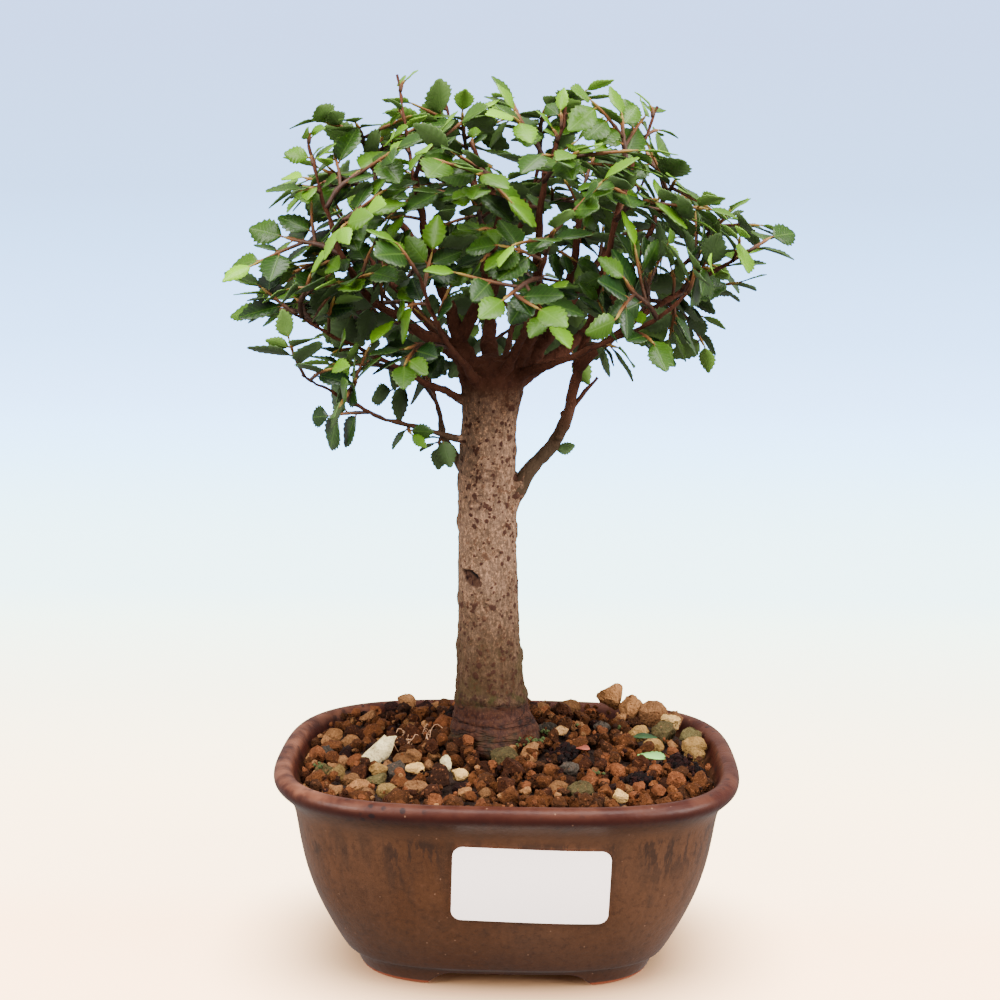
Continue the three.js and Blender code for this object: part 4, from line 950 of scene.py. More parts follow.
class MakeStage(Operator):
    """Sets up the floor, the backdrop, soft lights and the camera at the photograph's angle"""
    bl_idname = "bonsai.stage"
    bl_label = "Studio"

    # Camera, fitted to the pot's rim and feet: its distance, its height and how far it stands to the
    # right in metres, and its angles in degrees
    distance, height, aside = 0.551, 0.236, -0.0033
    pitch, roll, yaw, view = 8.6, 0.6, 1.3, 32.78

    def execute(self, context):
        finish = context.scene.bonsai_studio
        self.sweep()
        self.lights(finish.power)
        self.camera(context.scene)
        return {"FINISHED"}

    def sweep(self):
        """The floor runs up into the backdrop in one curve."""
        x, y, _ = POT_MIDDLE
        bpy.ops.object.select_all(action="DESELECT")
        bpy.ops.mesh.primitive_plane_add(size=5, location=(x, y - 1.1, -0.0004))
        floor = bpy.context.object
        floor.name = "studio_sweep"
        shape = corners(floor)
        for edge in floor.data.edges:
            edge.select = all(shape[i][1] > 0 for i in edge.vertices)
        bpy.ops.object.mode_set(mode="EDIT")
        bpy.ops.mesh.select_mode(type="EDGE")
        bpy.ops.mesh.extrude_region_move(TRANSFORM_OT_translate={"value": (0, 0, 2.6)})
        bpy.ops.object.mode_set(mode="OBJECT")
        shape = corners(floor)
        for edge in floor.data.edges:
            edge.select = all(shape[i][1] > 0 and shape[i][2] < 0.1 for i in edge.vertices)
        bpy.ops.object.mode_set(mode="EDIT")
        bpy.ops.mesh.bevel(offset=0.9, segments=24, affect="EDGES")
        bpy.ops.object.mode_set(mode="OBJECT")
        only(floor)
        bpy.ops.object.transform_apply(location=True, rotation=True, scale=True)
        bpy.ops.object.shade_smooth()
        floor.visible_diffuse = floor.visible_glossy = False
        floor.data.materials.append(self.backdrop())
        floor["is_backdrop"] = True

    # The backdrop's tones: how far along it, on the floor up to 0.5 and then up the wall, the tone there,
    # and the share of the lamps' light that reaches it
    tones = (
        (0, (248, 238, 227), 1), (0.035, (248, 240, 231), 1), (0.133, (245, 241, 233), 1),
        (0.274, (241, 241, 236), 1), (0.43, (237, 242, 240), 1), (0.506, (233, 241, 242), 1),
        (0.531, (229, 240, 243), 0.8), (0.568, (224, 238, 245), 0.45), (0.59, (221, 236, 245), 0.15),
        (0.614, (218, 233, 243), 0), (0.667, (212, 228, 240), 0), (0.756, (206, 222, 236), 0),
        (0.822, (202, 218, 232), 0), (0.926, (202, 216, 230), 0), (1, (202, 214, 229), 0),
    )
    # The floor's tone inside the painted shadow round the foot, where only the lamps light it
    painted_shadow_tone = (208, 190, 166)
    floor_end, wall_height = 0.565, 0.447
    # The foot's half width and depth, and the painted shadow round it as shares of them
    foot_half = (0.049, 0.036)
    shade_corner = 2.6
    shade_reach = (0.9, 2.2)

    def backdrop(self):
        """A glowing backdrop, with a shadow painted on the floor round the foot of the pot, where its glow
        fades
        """
        look = Look("pale sweep", 0.9, Specular_IOR_Level=0, Emission_Strength=1)
        x, y, z = look.axes()
        out = look.value("ShaderNodeClamp", {}, {"Value": y * (0.5 / self.floor_end), "Max": 0.5})
        place = out + z * (0.5 / self.wall_height)
        # Painted shadow: the floor's glow fades out towards the outline of the pot's foot
        aside = ((x - POT_MIDDLE[0]) * (1 / self.foot_half[0])).size() ** self.shade_corner
        ahead = ((y - POT_MIDDLE[1]) * (1 / self.foot_half[1])).size() ** self.shade_corner
        outside_painted_shadow = ((aside + ahead) ** (1 / self.shade_corner)).step(*self.shade_reach)
        base = paint(*self.painted_shadow_tone)
        rays = glow(*self.painted_shadow_tone)
        stops = []
        for at, tone, share in self.tones:
            stops.append((at, tuple(max(light - ray * share, 0) for light, ray in zip(glow(*tone), rays))))
        light = look.mix(outside_painted_shadow, (0, 0, 0), look.ramp(place, stops))
        look.feed(look.shader.inputs["Emission Color"], light)
        return look.dress(look.mix(z.step(0, 0.1), base, (0.01, 0.01, 0.01)))

    # Soft lamps: name, place, what it points at, width, power in watts and tone
    lamps = (
        ("overhead", (0.1, -0.2, 1.25), (0, 0.05, 0.1), 1.0, 42, (1, 0.985, 0.96)),
        ("front left", (-1.0, -0.8, 0.8), (0, 0, 0.15), 0.8, 40, (1, 0.98, 0.95)),
        ("front right", (1.15, -0.6, 0.6), (0, 0, 0.14), 0.8, 44, (1, 0.98, 0.95)),
    )
    air_tone, air_strength = (0.98, 0.96, 0.94, 1), 0.75

    def lights(self, power):
        world = bpy.data.worlds.new("studio air")
        world.use_nodes = True
        air = world.node_tree.nodes["Background"].inputs
        air["Color"].default_value = self.air_tone
        air["Strength"].default_value = self.air_strength
        bpy.context.scene.world = world
        for name, place, aim, width, watts, tone in self.lamps:
            data = bpy.data.lights.new(name, "AREA")
            data.shape = "DISK"
            data.size = width
            data.energy = watts * power
            data.color = tone
            lamp = bpy.data.objects.new(name, data)
            bpy.context.collection.objects.link(lamp)
            lamp.location = place
            lamp.rotation_euler = (Vector(aim) - Vector(place)).to_track_quat("-Z", "Y").to_euler()

    def camera(self, scene):
        data = bpy.data.cameras.new("photograph")
        data.sensor_fit = "HORIZONTAL"
        data.angle = math.radians(self.view)
        data.clip_start = 0.02
        data.clip_end = 20
        camera = bpy.data.objects.new("photograph", data)
        bpy.context.collection.objects.link(camera)
        yaw, pitch, roll = (math.radians(a) for a in (self.yaw, self.pitch, self.roll))
        level = Vector((-math.sin(yaw), math.cos(yaw), 0))
        right = Vector((math.cos(yaw), math.sin(yaw), 0))
        ahead = level * math.cos(pitch) + Vector((0, 0, -math.sin(pitch)))
        up = right.cross(ahead)
        c, s = math.cos(roll), math.sin(roll)
        right, up = right * c + up * s, up * c - right * s
        turned = camera.matrix_world.to_3x3()
        turned.col[0], turned.col[1], turned.col[2] = right, up, -ahead
        camera.matrix_world = turned.to_4x4()
        start = Vector((POT_MIDDLE[0], POT_MIDDLE[1] - MM, 0))
        camera.location = start - level * self.distance + Vector((0, 0, self.height)) + right * self.aside
        scene.camera = camera


class MakePot(Operator):
    """Models the glazed pot with its rolled lip, feet and drain holes, and the nets over the holes"""
    bl_idname = "bonsai.pot"
    bl_label = "Glazed pot"

    # How far the feet reach inwards, the bevel of their edges, and the height of the floor between them
    foot_reach, foot_edge, floor_under = 11, 0.7, 5.6
    # The half width and depth of the openings between the feet, and how far each stands to the right
    gaps = (((21.6, 80), 2.1), ((90, 15), 0))
    gap_heights, gap_slope, gap_round = (-3, 5.0), 8.0, 3.4
    # How far the drain holes are from the middle, their radius, and the nets' wire
    drain_x, drain_radius, net_wire = 19, 6, 0.8
    # Edges that turn by more degrees than this stay sharp
    sharp = 40

    def execute(self, context):
        finish = context.scene.bonsai_pot
        pot = loft("pot_glazed", POT_WALL)
        modify(pot, "SUBSURF", levels=2, render_levels=2)
        cut(pot, self.feet(), "UNION")
        for side in (-1, 1):
            bpy.ops.object.select_all(action="DESELECT")
            place = (POT_MIDDLE[0] + side * self.drain_x * MM, POT_MIDDLE[1], 7 * MM)
            radius = self.drain_radius * MM
            bpy.ops.mesh.primitive_cylinder_add(vertices=40, radius=radius, depth=16 * MM, location=place)
            cut(pot, bpy.context.object)
        done(pot, "glaze", [self.glaze(finish)], "pot", angle=self.sharp)
        for node in ("drain_mesh_left", "drain_mesh_right"):
            self.net(node)
        return {"FINISHED"}

    def feet(self):
        feet = loft("feet", FOOT_WALL, 96)
        inner = FOOT_WALL[0][0] + self.foot_reach
        cut(feet, loft("under", ((inner, -1), (inner, self.floor_under))))
        for half, aside in self.gaps:
            cut(feet, block(half, aside, *self.gap_heights, self.gap_slope, self.gap_round))
        modify(feet, "BEVEL", width=self.foot_edge * MM, segments=3, limit_method="ANGLE",
               angle_limit=math.radians(self.sharp))
        return feet

    def net(self, node):
        low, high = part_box(node)
        wire = self.net_wire * MM
        bpy.ops.object.select_all(action="DESELECT")
        bpy.ops.mesh.primitive_grid_add(x_subdivisions=8, y_subdivisions=8, size=high.x - low.x - wire,
                                        location=(low + high) / 2)
        net = bpy.context.object
        net.name = node.replace("drain_mesh", "drain_net")
        modify(net, "WIREFRAME", thickness=wire, use_boundary=True)
        look = Look("black plastic net", 0.5)
        worn = look.noise(0.004)
        look.dress(look.mix(worn, paint(34, 35, 37), paint(52, 52, 54)), look.noise(0.0006), 0.00005)
        done(net, "plastic_net", [look.material], node, angle=30)

    def glaze(self, finish):
        look = Look("brown glaze", 0.4, Specular_IOR_Level=0.16)
        x, _, z = look.axes()
        width = finish.streak_width
        streaks = look.noise(width, 4, 0.6, (1, 1, 0.14)).step(0.5, 0.72)
        fine_run = look.noise(width * 0.35, 4, 0.65, (1, 1, 0.1)).step(0.4, 0.75)
        broad = look.noise(0.04, 3, 0.5, (1, 1, 0.5)).step(0.3, 0.7)
        blotches = look.noise(0.016, 4, 0.65).step(0.42, 0.72)
        mottle = look.noise(0.0019, 4, 0.72)
        # Dark runs below the lip
        drips = look.noise(0.0034, 4, 0.65, (1, 1, 0.2)).step(0.49, 0.57)
        drips = drips * look.noise(0.022, 2).step(0.36, 0.52)
        drips = drips * z.step(0.036, 0.05) * (1 - z.step(0.0545, 0.0575))
        # Painted light: a lighter band under the lip that offsets the shadow the overhanging lip casts
        painted_neck_light = z.step(0.054, 0.058) * (1 - z.step(0.059, 0.062))
        lip = z.step(0.0605, 0.0645)
        # Painted highlight: a lighter, mottled band along the top of the lip, strongest on the left side
        left = 1 - x.step(POT_MIDDLE[0] - 0.07, POT_MIDDLE[0] - 0.03)
        rim = z.step(0.0645, 0.0678) * look.noise(0.01, 3).step(0.3, 0.7)
        edge = look.value("ShaderNodeNewGeometry", {}, {}, "Pointiness").step(0.52, 0.58)
        spots = 1 - (look.cells(0.0036) + look.noise(0.0012, 3) * 0.3).step(0.36, 0.46)
        spots = spots * look.noise(0.012).step(0.46, 0.6) * (lip * 0.75 + 0.06)
        specks = (1 - look.cells(0.0042, (1, 1, 0.8)).step(0.04, 0.08)) * 0.55
        foot = 1 - z.step(0.0006, 0.0014)
        shade = look.coats(
            finish.glaze,
            (broad, (142, 100, 74)),
            (fine_run * 0.3, (96, 66, 50)),
            (blotches * 0.28, finish.streaks),
            (streaks * z.step(0.012, 0.03) * 0.4, finish.streaks),
            (mottle.step(0.52, 0.68) * 0.3, (150, 108, 82)),
            ((1 - mottle.step(0.34, 0.48)) * 0.35, (78, 58, 50)),
            (drips * 0.62, (70, 60, 56)),
            ((1 - z.step(0.002, 0.026)) * 0.6, (88, 54, 37)),
            # painted light under the lip
            (painted_neck_light * 0.5, (142, 100, 74)),
            (lip * 0.85, (82, 43, 20)),
            # painted highlight along the lip's top, strongest at the left
            (rim * (left * 0.6 + 0.2), (176, 132, 104)),
            (edge * look.noise(0.006).step(0.3, 0.7) * 0.4, finish.thin_glaze),
            (spots, (60, 50, 52)),
            (specks, (184, 156, 132)),
            (foot, finish.clay),
        )
        rough = 0.34 + look.noise(0.012, 3) * 0.2 + foot * 0.4 + specks * 0.2
        ripple = look.noise(0.009, 3, 0.5) * 0.8 + mottle * 0.35 + specks * 0.1
        return look.dress(shade, ripple, 0.0006, 0.7, rough)


def soil_height(x, y):
    """The soil is heaped to the trunk, and fuller at the back."""
    tx, ty = TRUNK[0][:2]
    far = np.hypot((x - tx) / 62, (y - ty) / 50)
    back = np.clip((y - 16) / 30, 0, 1)
    return SOIL_EDGE + SOIL_HEAP * np.exp(-2.2 * far * far) + SOIL_BACK * back * back * (3 - 2 * back)


def rough_lump(seed, cuts=9, roughness=0.06, rounds=2):
    """A broken lump about one unit across: a ball, cut flat on some sides and roughened"""
    bpy.ops.object.select_all(action="DESELECT")
    bpy.ops.mesh.primitive_ico_sphere_add(subdivisions=rounds, radius=0.5)
    ball = bpy.context.object
    points = corners(ball)
    random = np.random.default_rng(seed)
    for side in random.normal(size=(cuts, 3)):
        side = unit(side)
        over = np.maximum(points @ side - random.uniform(0.27, 0.45), 0)
        points -= over[:, None] * side
    points += random.uniform(-roughness, roughness, points.shape)
    faces = [tuple(face.vertices) for face in ball.data.polygons]
    bpy.data.objects.remove(ball, do_unlink=True)
    return points, faces


class MakeSoil(Operator):
    """Fills the pot: a dark bed, then fired clay grains, stones and humus on it"""
    bl_idname = "bonsai.soil"
    bl_label = "Soil"

    # How many shapes of lump there are, and how far from the trunk's middle the grains begin
    shapes, root_room = 10, 15.2
    # How much larger than listed the stones are, and how far the pale ones lean, in radians
    stone_growth, lean = 1.2, 0.6
    # How far the bed lies below the grains
    bed_depth = 2.6
    # A shade's brightness is drawn between these
    brightness = (0.78, 1.2)
    # Shares of the grains that are red, and that are red or dark
    red, red_or_dark = 0.87, 0.94

    def execute(self, context):
        finish = context.scene.bonsai_soil
        self.random = np.random.default_rng(finish.seed)
        self.bed()
        self.lumps = [rough_lump(i) for i in range(self.shapes)]
        placed = self.stones()
        self.grains(finish.grain / MM, placed)
        self.humus()
        return {"FINISHED"}

    def bed(self):
        bed = loft("soil_bed", SOIL_SIDE + tuple((9.4 + 9 * k, 60.2 + 0.01 * k) for k in range(1, 6)))
        points = corners(bed)
        x, y = points[:, 0] / MM, points[:, 1] / MM
        top = points[:, 2] > np.max(points[:, 2]) - 0.3 * MM
        height = soil_height(x, y) - self.bed_depth
        origin = bed.location.z / MM
        points[top, 2] = (height[top] - origin) * MM
        set_corners(bed, points)
        look = Look("dark soil bed", 0.95)
        grit = look.noise(0.003, 4, 0.7)
        look.dress(look.mix(grit, paint(56, 38, 28), paint(104, 66, 44)), grit, 0.002)
        done(bed, "soil", [look.material], "soil", angle=40)

    def turns(self):
        """A random turn"""
        made, _ = np.linalg.qr(self.random.normal(size=(3, 3)))
        return made if np.linalg.det(made) > 0 else -made

    def lay(self, batch, lumps, stretch, place, kind, turned=True):
        """Adds one lump, in one of the colours of its kind"""
        shape, faces = lumps[self.random.integers(self.shapes)]
        matrix = self.turns() @ stretch if turned else stretch
        choices = STONE_COLOURS[kind]
        base = np.array(paint(*choices[self.random.integers(len(choices))]))
        shade = (*(base * self.random.uniform(*self.brightness)), 1)
        batch.add(shape @ matrix.T + np.array(place), faces, np.tile(shade, (len(shape), 1)))

    def pile(self, batch, name, look):
        piece = batch.piece(name)
        mark(piece, "shade", np.concatenate(batch.marks), "FLOAT_COLOR")
        done(piece, "soil", [look], "soil", angle=32)

    def grit_look(self, name, rough_depth, dust):
        look = Look(name, 0.95, Specular_IOR_Level=0.15)
        shade = look.tint("shade")
        patches = look.noise(0.0026, 4, 0.65)
        shade = look.mix(patches.step(0.35, 0.7) * 0.6, shade, (0.46, 0.41, 0.36), "MULTIPLY")
        grit = look.noise(0.0008, 4, 0.75)
        shade = look.mix((1 - grit.step(0.35, 0.6)) * 0.6, shade, (0.5, 0.45, 0.4), "MULTIPLY")
        shade = look.mix(look.noise(0.0011, 4, 0.75).step(0.56, 0.74) * dust, shade, paint(206, 170, 128))
        pits = grit + look.cells(0.0011).step(0, 0.6) * 0.6 + patches
        return look.dress(shade, pits, rough_depth)

    def stones(self):
        """Stones that stand out, and the circles that the grains leave to them, the humus and the leaf"""
        batch, placed = Batch(), []
        rocks = [rough_lump(60 + i, 12, 0.035, 3) for i in range(self.shapes)]
        for kind, x, y, long, wide, tall, turn, stand in STONES:
            c, s = math.cos(turn), math.sin(turn)
            lie = np.array(((c, -s, 0), (s, c, 0), (0, 0, 1)))
            tip = self.random.uniform(-0.25, 0.25)
            c, s = math.cos(tip), math.sin(tip)
            tilt = np.array(((1, 0, 0), (0, c, -s), (0, s, c)))
            c, s = math.cos(self.lean), math.sin(self.lean)
            rise = np.array(((c, 0, -s), (0, 1, 0), (s, 0, c))) if kind == "pumice" else np.eye(3)
            matrix = lie @ rise @ tilt @ np.diag((long, wide, tall)) * self.stone_growth
            place = (x, y, soil_height(x, y) + stand * 1.2 - tall / 2 + 1.0)
            self.lay(batch, rocks, matrix, place, kind, turned=False)
            placed.append((x, y, (long + wide) / 2 * self.stone_growth))
        placed += [(x, y, wide * 0.75) for x, y, wide in HUMUS]
        low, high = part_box("fallen_leaf")
        middle = middle_of(low, high)
        placed += [(middle[0] + shift, middle[1], 5.5) for shift in (-3.5, 0, 3.5)]
        self.pile(batch, "soil_stones", self.grit_look("rough stones", 0.0007, 0.35))
        return placed

    def scatter(self, count, low, high, placed, inset, crowding):
        """Places and sizes, after a number of tries, of lumps that keep apart and off the trunk"""
        x, y, wide = (list(column) for column in zip(*placed))
        tx, ty = TRUNK[2][:2]
        for _ in range(count):
            span = self.random.uniform(low, high)
            px = self.random.uniform(-72, 72)
            py = self.random.uniform(-60, 60)
            if plan_reach(px, py, inset + span / 2) > 1 or math.hypot(px - tx, py - ty) < self.root_room:
                continue
            apart = np.hypot(np.array(x) - px, np.array(y) - py)
            if (apart < (np.array(wide) + span) / 2 * crowding).any():
                continue
            x.append(px)
            y.append(py)
            wide.append(span)
        first = len(placed)
        return list(zip(x[first:], y[first:], wide[first:]))

    def grains(self, usual, placed):
        """Usual grains, then some in the gaps on them, then crumbs"""
        layers = (
            (self.scatter(14000, usual * 0.62, usual * 1.3, placed, 7.2, 0.84), 0.2),
            (self.scatter(2200, usual * 0.5, usual * 1.15, placed, 8.2, 1.05), 2.6),
            (self.scatter(700, 1.2, 2.6, placed, 8.0, 1.0), 3.2),
        )
        batch = Batch()
        for layer, rise in layers:
            for x, y, span in layer:
                squash = np.diag(self.random.uniform(0.7, 1.25, 3) * span)
                z = soil_height(x, y) + rise + self.random.uniform(-0.6, 0.6)
                warm = self.random.random()
                kind = "red" if warm < self.red else ("dark" if warm < self.red_or_dark else "tan")
                if x < -24 and y < 0 and self.random.random() < 0.2:
                    kind = "tan"
                self.lay(batch, self.lumps, squash, (x, y, z), kind)
        self.pile(batch, "soil_grains", self.grit_look("fired clay grains", 0.0008, 0.5))

    def humus(self):
        batch = Batch()
        for x, y, wide in HUMUS:
            for _ in range(int(wide * wide * 2.6)):
                away = np.clip(self.random.normal(0, 0.3, 2), -0.66, 0.66) * wide
                px, py = x + away[0], y + away[1]
                span = self.random.uniform(0.8, 2.4)
                heap = 3.4 * math.exp(-float(away @ away) / (0.2 * wide * wide))
                rise = heap + self.random.uniform(-0.5, 1)
                squash = np.diag(self.random.uniform(0.4, 1.5, 3) * span)
                self.lay(batch, self.lumps, squash, (px, py, soil_height(px, py) + 0.8 + rise), "black")
        self.pile(batch, "soil_humus", self.grit_look("black humus", 0.0007, 0.1))


class MakeWood(Operator):
    """Models the root base and trunk with their marks, then the limbs and pruned stubs"""
    bl_idname = "bonsai.wood"
    bl_label = "Trunk and limbs"

    # How much slimmer than the solids a limb soon gets, and how much more along its length: for thin limbs,
    # for the limb at the right, and for those that are stout at their root
    thin, right, stout = (0.3, 0.14), (0.28, 0.2), (0.06, 0.34)
    right_limb, stout_radius = 6, 2.8
    tip_from, tip_taper = 0.88, 0.3
    # Below and above these heights the limbs are grey like the trunk, and red-brown
    grey_end, red_start = 168, 188
    # Grooves round the root base: height, turn and depth
    grooves = ((75.2, 0, 0.45), (71.4, 1.7, 0.3), (78.6, 3.1, 0.25))
    # Healed scars and knobs at the sides: height, turn and width
    scars = ((150.5, -1.95, 2.0), (160.5, -1.5, 2.3), (139, 2.6, 2.0), (112, 0.4, 2.2), (170, 1.4, 2.6),
             (134.5, -1.2, 1.3))
    knobs = ((157.3, 3.0, 2.6), (143.4, 3.1, 2.0), (117.2, 3.1, 1.7), (168, -0.1, 1.8), (141, 0.02, 2.2),
             (98, 0.1, 2.0), (101, 3.0, 2.0))
    pore_clusters, pores_from, pores_over = 190, 83, 106
    cut_turn, cut_height = -2.12, 125.6
    knots_from = 172

    def execute(self, context):
        finish = context.scene.bonsai_bark
        look = self.bark(finish)
        for piece in (self.trunk(finish.voxel), self.limbs()):
            done(piece, "bark", [look], "tree_wood")
        return {"FINISHED"}

    def limb_line(self, limb, seed, share=1.0, collar=0.0):
        (r0, r1), *points = limb
        slim, slimmer = self.stout if r0 >= self.stout_radius else self.thin
        if seed == self.right_limb:
            slim, slimmer = self.right
        points = np.array(points, float)
        reach = size(points[-1] - points[0])
        count = max(6, int(reach / 1.6 * share))
        rows = []
        for k in range(count + 1):
            t = share * k / count
            place = along(points, t)
            crook = min(1, 4 * t, 4 * (1 - t))
            shift = np.array([noise.noise(Vector((seed * 3.1 + i * 9.7, t * reach / 9, 0)))
                              for i in range(3)])
            knot = 1 + 0.16 * noise.noise(Vector((seed * 5.3, t * reach / 4.5, 2.0)))
            radius = (r0 + (r1 - r0) * t) * knot * (1 - slim * min(1, 5 * t) - slimmer * min(1, 1.7 * t))
            if limb is not STUBS[-1]:
                radius *= 1 - self.tip_taper * max(0, (t - self.tip_from) / (1 - self.tip_from))
            radius *= 1 + collar * math.exp(-t * reach / 5)
            rows.append((*(place + shift * crook), radius))
        return np.array(rows)

    def trunk(self, voxel):
        stations = np.array(TRUNK, float)
        lines = [np.array([along(stations, k / 90) for k in range(91)])]
        for seed, limb in enumerate(LIMBS):
            start = np.array(limb[1], float)
            if math.hypot(start[0] + 6.5, start[1] - 10) < 9 and start[2] < 196:
                lines.append(self.limb_line(limb, seed, 0.3, 0.45))
        trunk = rods("bark_trunk", lines, 8)
        modify(trunk, "REMESH", mode="VOXEL", voxel_size=voxel)
        modify(trunk, "SMOOTH", factor=0.5, iterations=5)
        self.relief(trunk)
        return trunk

    def relief(self, trunk):
        """Pores, scars, knobs and root lobes, set as height on the mesh and as marks for the bark"""
        points = (corners(trunk) - POT_MIDDLE) / MM
        stations = np.array(TRUNK, float)
        z = points[:, 2]
        ax, ay, radius = (np.interp(z, stations[:, 2], stations[:, column]) for column in (0, 1, 3))
        dx, dy = points[:, 0] - ax, points[:, 1] - ay
        far = np.hypot(dx, dy)
        turn = np.arctan2(dy, dx)
        on_trunk = np.clip((1.42 - far / radius) / 0.2, 0, 1) * np.clip((192 - z) / 6, 0, 1)
        lift = self.swells(points, turn)
        pores = np.zeros(len(z))
        scar = np.zeros(len(z))
        order = np.argsort(z)
        ranked = z[order]

        def spot(height, angle, wide, tall):
            """How near each point is to the middle of a round mark: the points, and 1 falling to 0"""
            low, high = np.searchsorted(ranked, (height - 3 * tall, height + 3 * tall))
            mine = order[low:high]
            across = (turn[mine] - angle + math.pi) % (2 * math.pi) - math.pi
            gone = (across * far[mine] / wide) ** 2 + ((z[mine] - height) / tall) ** 2
            return mine, np.exp(-gone * gone)

        random = np.random.default_rng(11)
        for _ in range(self.pore_clusters):
            middle = self.pores_from + 1 + self.pores_over * random.random() ** 1.3
            turned = random.uniform(-math.pi, math.pi)
            for _ in range(random.integers(2, 11)):
                height = middle + random.normal(0, 3.4)
                angle = turned + random.normal(0, 0.34)
                wide = random.uniform(0.24, 0.72) * (1 + 0.6 * (random.random() < 0.16))
                if height > self.pores_from:
                    mine, share = spot(height, angle, wide, wide * random.uniform(0.7, 1.1))
                    pores[mine] = np.maximum(pores[mine], share * random.uniform(0.6, 1))
        for height, angle, wide in self.scars:
            mine, share = spot(height, angle, wide * 1.25, wide * 0.8)
            ring = share * (1 - share) * 4
            lift[mine] += 0.3 * ring - 0.2 * share
            scar[mine] = np.maximum(scar[mine], ring * 0.3)
        for height, angle, wide in self.knobs:
            mine, share = spot(height, angle, wide, wide * 1.2)
            lift[mine] += 0.55 * share
            pores[mine] = np.maximum(pores[mine], share * 0.5)
        # The old cut on the left of the front: a hollow that slants down to the right under a raised rim
        mine, share = spot(self.cut_height, self.cut_turn, 6.5, 6.5)
        across, above = (turn[mine] - self.cut_turn) * far[mine], z[mine] - self.cut_height
        ragged = np.array([noise.noise(Vector(points[i] / 1.3)) for i in mine])
        down, over = across * 0.85 - above * 0.53, across * 0.53 + above * 0.85 + 0.9 * ragged
        edge = 3.0 * np.clip(1 - (down / 4.9) ** 2, 0, 1)
        hollow = np.clip((edge - np.abs(over)) / 0.9, 0, 1)
        ridge = np.exp(-((over - edge - 0.3) / 0.8) ** 2) * np.clip((5.4 - np.abs(down)) / 1.5, 0, 1)
        lift[mine] += 1.1 * ridge - (1.4 + 0.8 * ragged) * hollow
        # The mark is highest in the upper part of the hollow, under its raised rim, where the bark paints
        # shade
        scar[mine] = np.maximum(scar[mine], hollow * (0.6 + 0.4 * np.clip(over / 1.4 - 0.3, 0, 1)))
        lift += 0.2 * pores
        away = np.stack((dx, dy, 0 * dx), 1) / np.maximum(far, 1e-6)[:, None]
        knots = np.zeros(len(z))
        for i in np.flatnonzero((z > self.knots_from) & (on_trunk < 1)):
            v = Vector(points[i])
            knots[i] = (0.75 * noise.noise(v / 2.6) + 0.4 * noise.noise(v / 1.0)) * (1 - on_trunk[i])
        points += corners(trunk, "normal") * knots[:, None]
        set_corners(trunk, to_frame(points + away * (lift * on_trunk)[:, None]))
        for field, value in (("pore", pores * on_trunk), ("scar", scar * on_trunk), ("limb", 1 - on_trunk)):
            mark(trunk, field, value)

    def swells(self, points, turn):
        """The height of root lobes, grooves, the ledge above the root base and the bark's unevenness"""
        z = points[:, 2]
        lift = np.exp(-((z - 66) / 8.5) ** 2) * (1.3 * np.sin(4 * turn + 0.8) + 0.6 * np.sin(7 * turn + 2.0))
        for height, phase, depth in self.grooves:
            lift -= depth * np.exp(-((z - height - 0.5 * np.sin(2 * turn + phase)) / 0.5) ** 2)
        lift += 0.55 * np.exp(-((z - 84 - 0.9 * np.sin(3 * turn + 1)) / 1.3) ** 2)
        for i, p in enumerate(points):
            lift[i] += 0.34 * noise.noise(Vector((p[0] / 4.2, p[1] / 4.2, p[2] / 7.5)))
            lift[i] += 0.24 * noise.noise(Vector((p[0] / 1.3, p[1] / 1.3, p[2] / 2.0)))
        return lift

    def limbs(self):
        lines = [self.limb_line(limb, seed) for seed, limb in enumerate(LIMBS + STUBS)]
        limbs = rods("bark_limbs", lines, 4)
        points = corners(limbs)
        lift = []
        for p in points / MM:
            v = Vector(p)
            lift.append(0.4 * noise.noise(v / 2.6) + 0.24 * noise.noise(v / 1.1))
        set_corners(limbs, points + corners(limbs, "normal") * np.array(lift)[:, None] * MM)
        for field, value in (("pore", 0), ("scar", 0), ("limb", 1)):
            mark(limbs, field, np.full(len(points), value))
        return limbs

    def bark(self, finish):
        look = Look("elm bark", 0.82, Specular_IOR_Level=0.18)
        z = look.height()
        pore, scar, limb = (look.attribute(name) for name in ("pore", "scar", "limb"))
        fine = look.noise(0.0011, 4, 0.7, (1, 1, 0.5))
        mid = look.noise(0.006, 4, 0.6, (1, 1, 0.6))
        grain = look.noise(0.0022, 4, 0.7, (1, 1, 0.55))
        fleck = look.noise(0.0008, 4, 0.8, (1, 1, 0.85))
        low = 1 - z.step(0.088, 0.135)
        green = look.noise(0.011, 3, 0.6).step(0.46, 0.66)
        blemish = (pore + grain * 1.3 - 0.6).step(0.3, 0.5)
        rust = look.noise(0.0019, 3, 0.6).step(0.56, 0.64) * mid.step(0.4, 0.56)
        high = (z + mid * 0.016).step(0.182, 0.2)
        base = 1 - (z + (mid - 0.5) * 0.008 + (grain - 0.5) * 0.006).step(0.0805, 0.0845)
        wrinkle = 1 - (look.noise(0.012, 3, 0.6, (0.5, 0.5, 2.4)) - 0.5).size().step(0.004, 0.03)
        seam = z.step(0.0815, 0.0835) * (1 - z.step(0.0855, 0.088))
        root = look.coats(
            finish.base,
            (fine.step(0.3, 0.7), (106, 68, 52)),
            (grain.step(0.46, 0.6) * 0.6, (66, 41, 33)),
            ((1 - fleck.step(0.36, 0.5)) * 0.6, (56, 35, 29)),
            (fleck.step(0.54, 0.68) * 0.7, (142, 98, 74)),
            # painted shade along the wrinkles, which the bump also sinks as grooves
            (wrinkle * 0.7, (48, 30, 25)),
            (mid.step(0.52, 0.62) * 0.4, (124, 78, 60)),
            (green * (1 - z.step(0.068, 0.076)) * 0.6, (82, 88, 50)),
        )
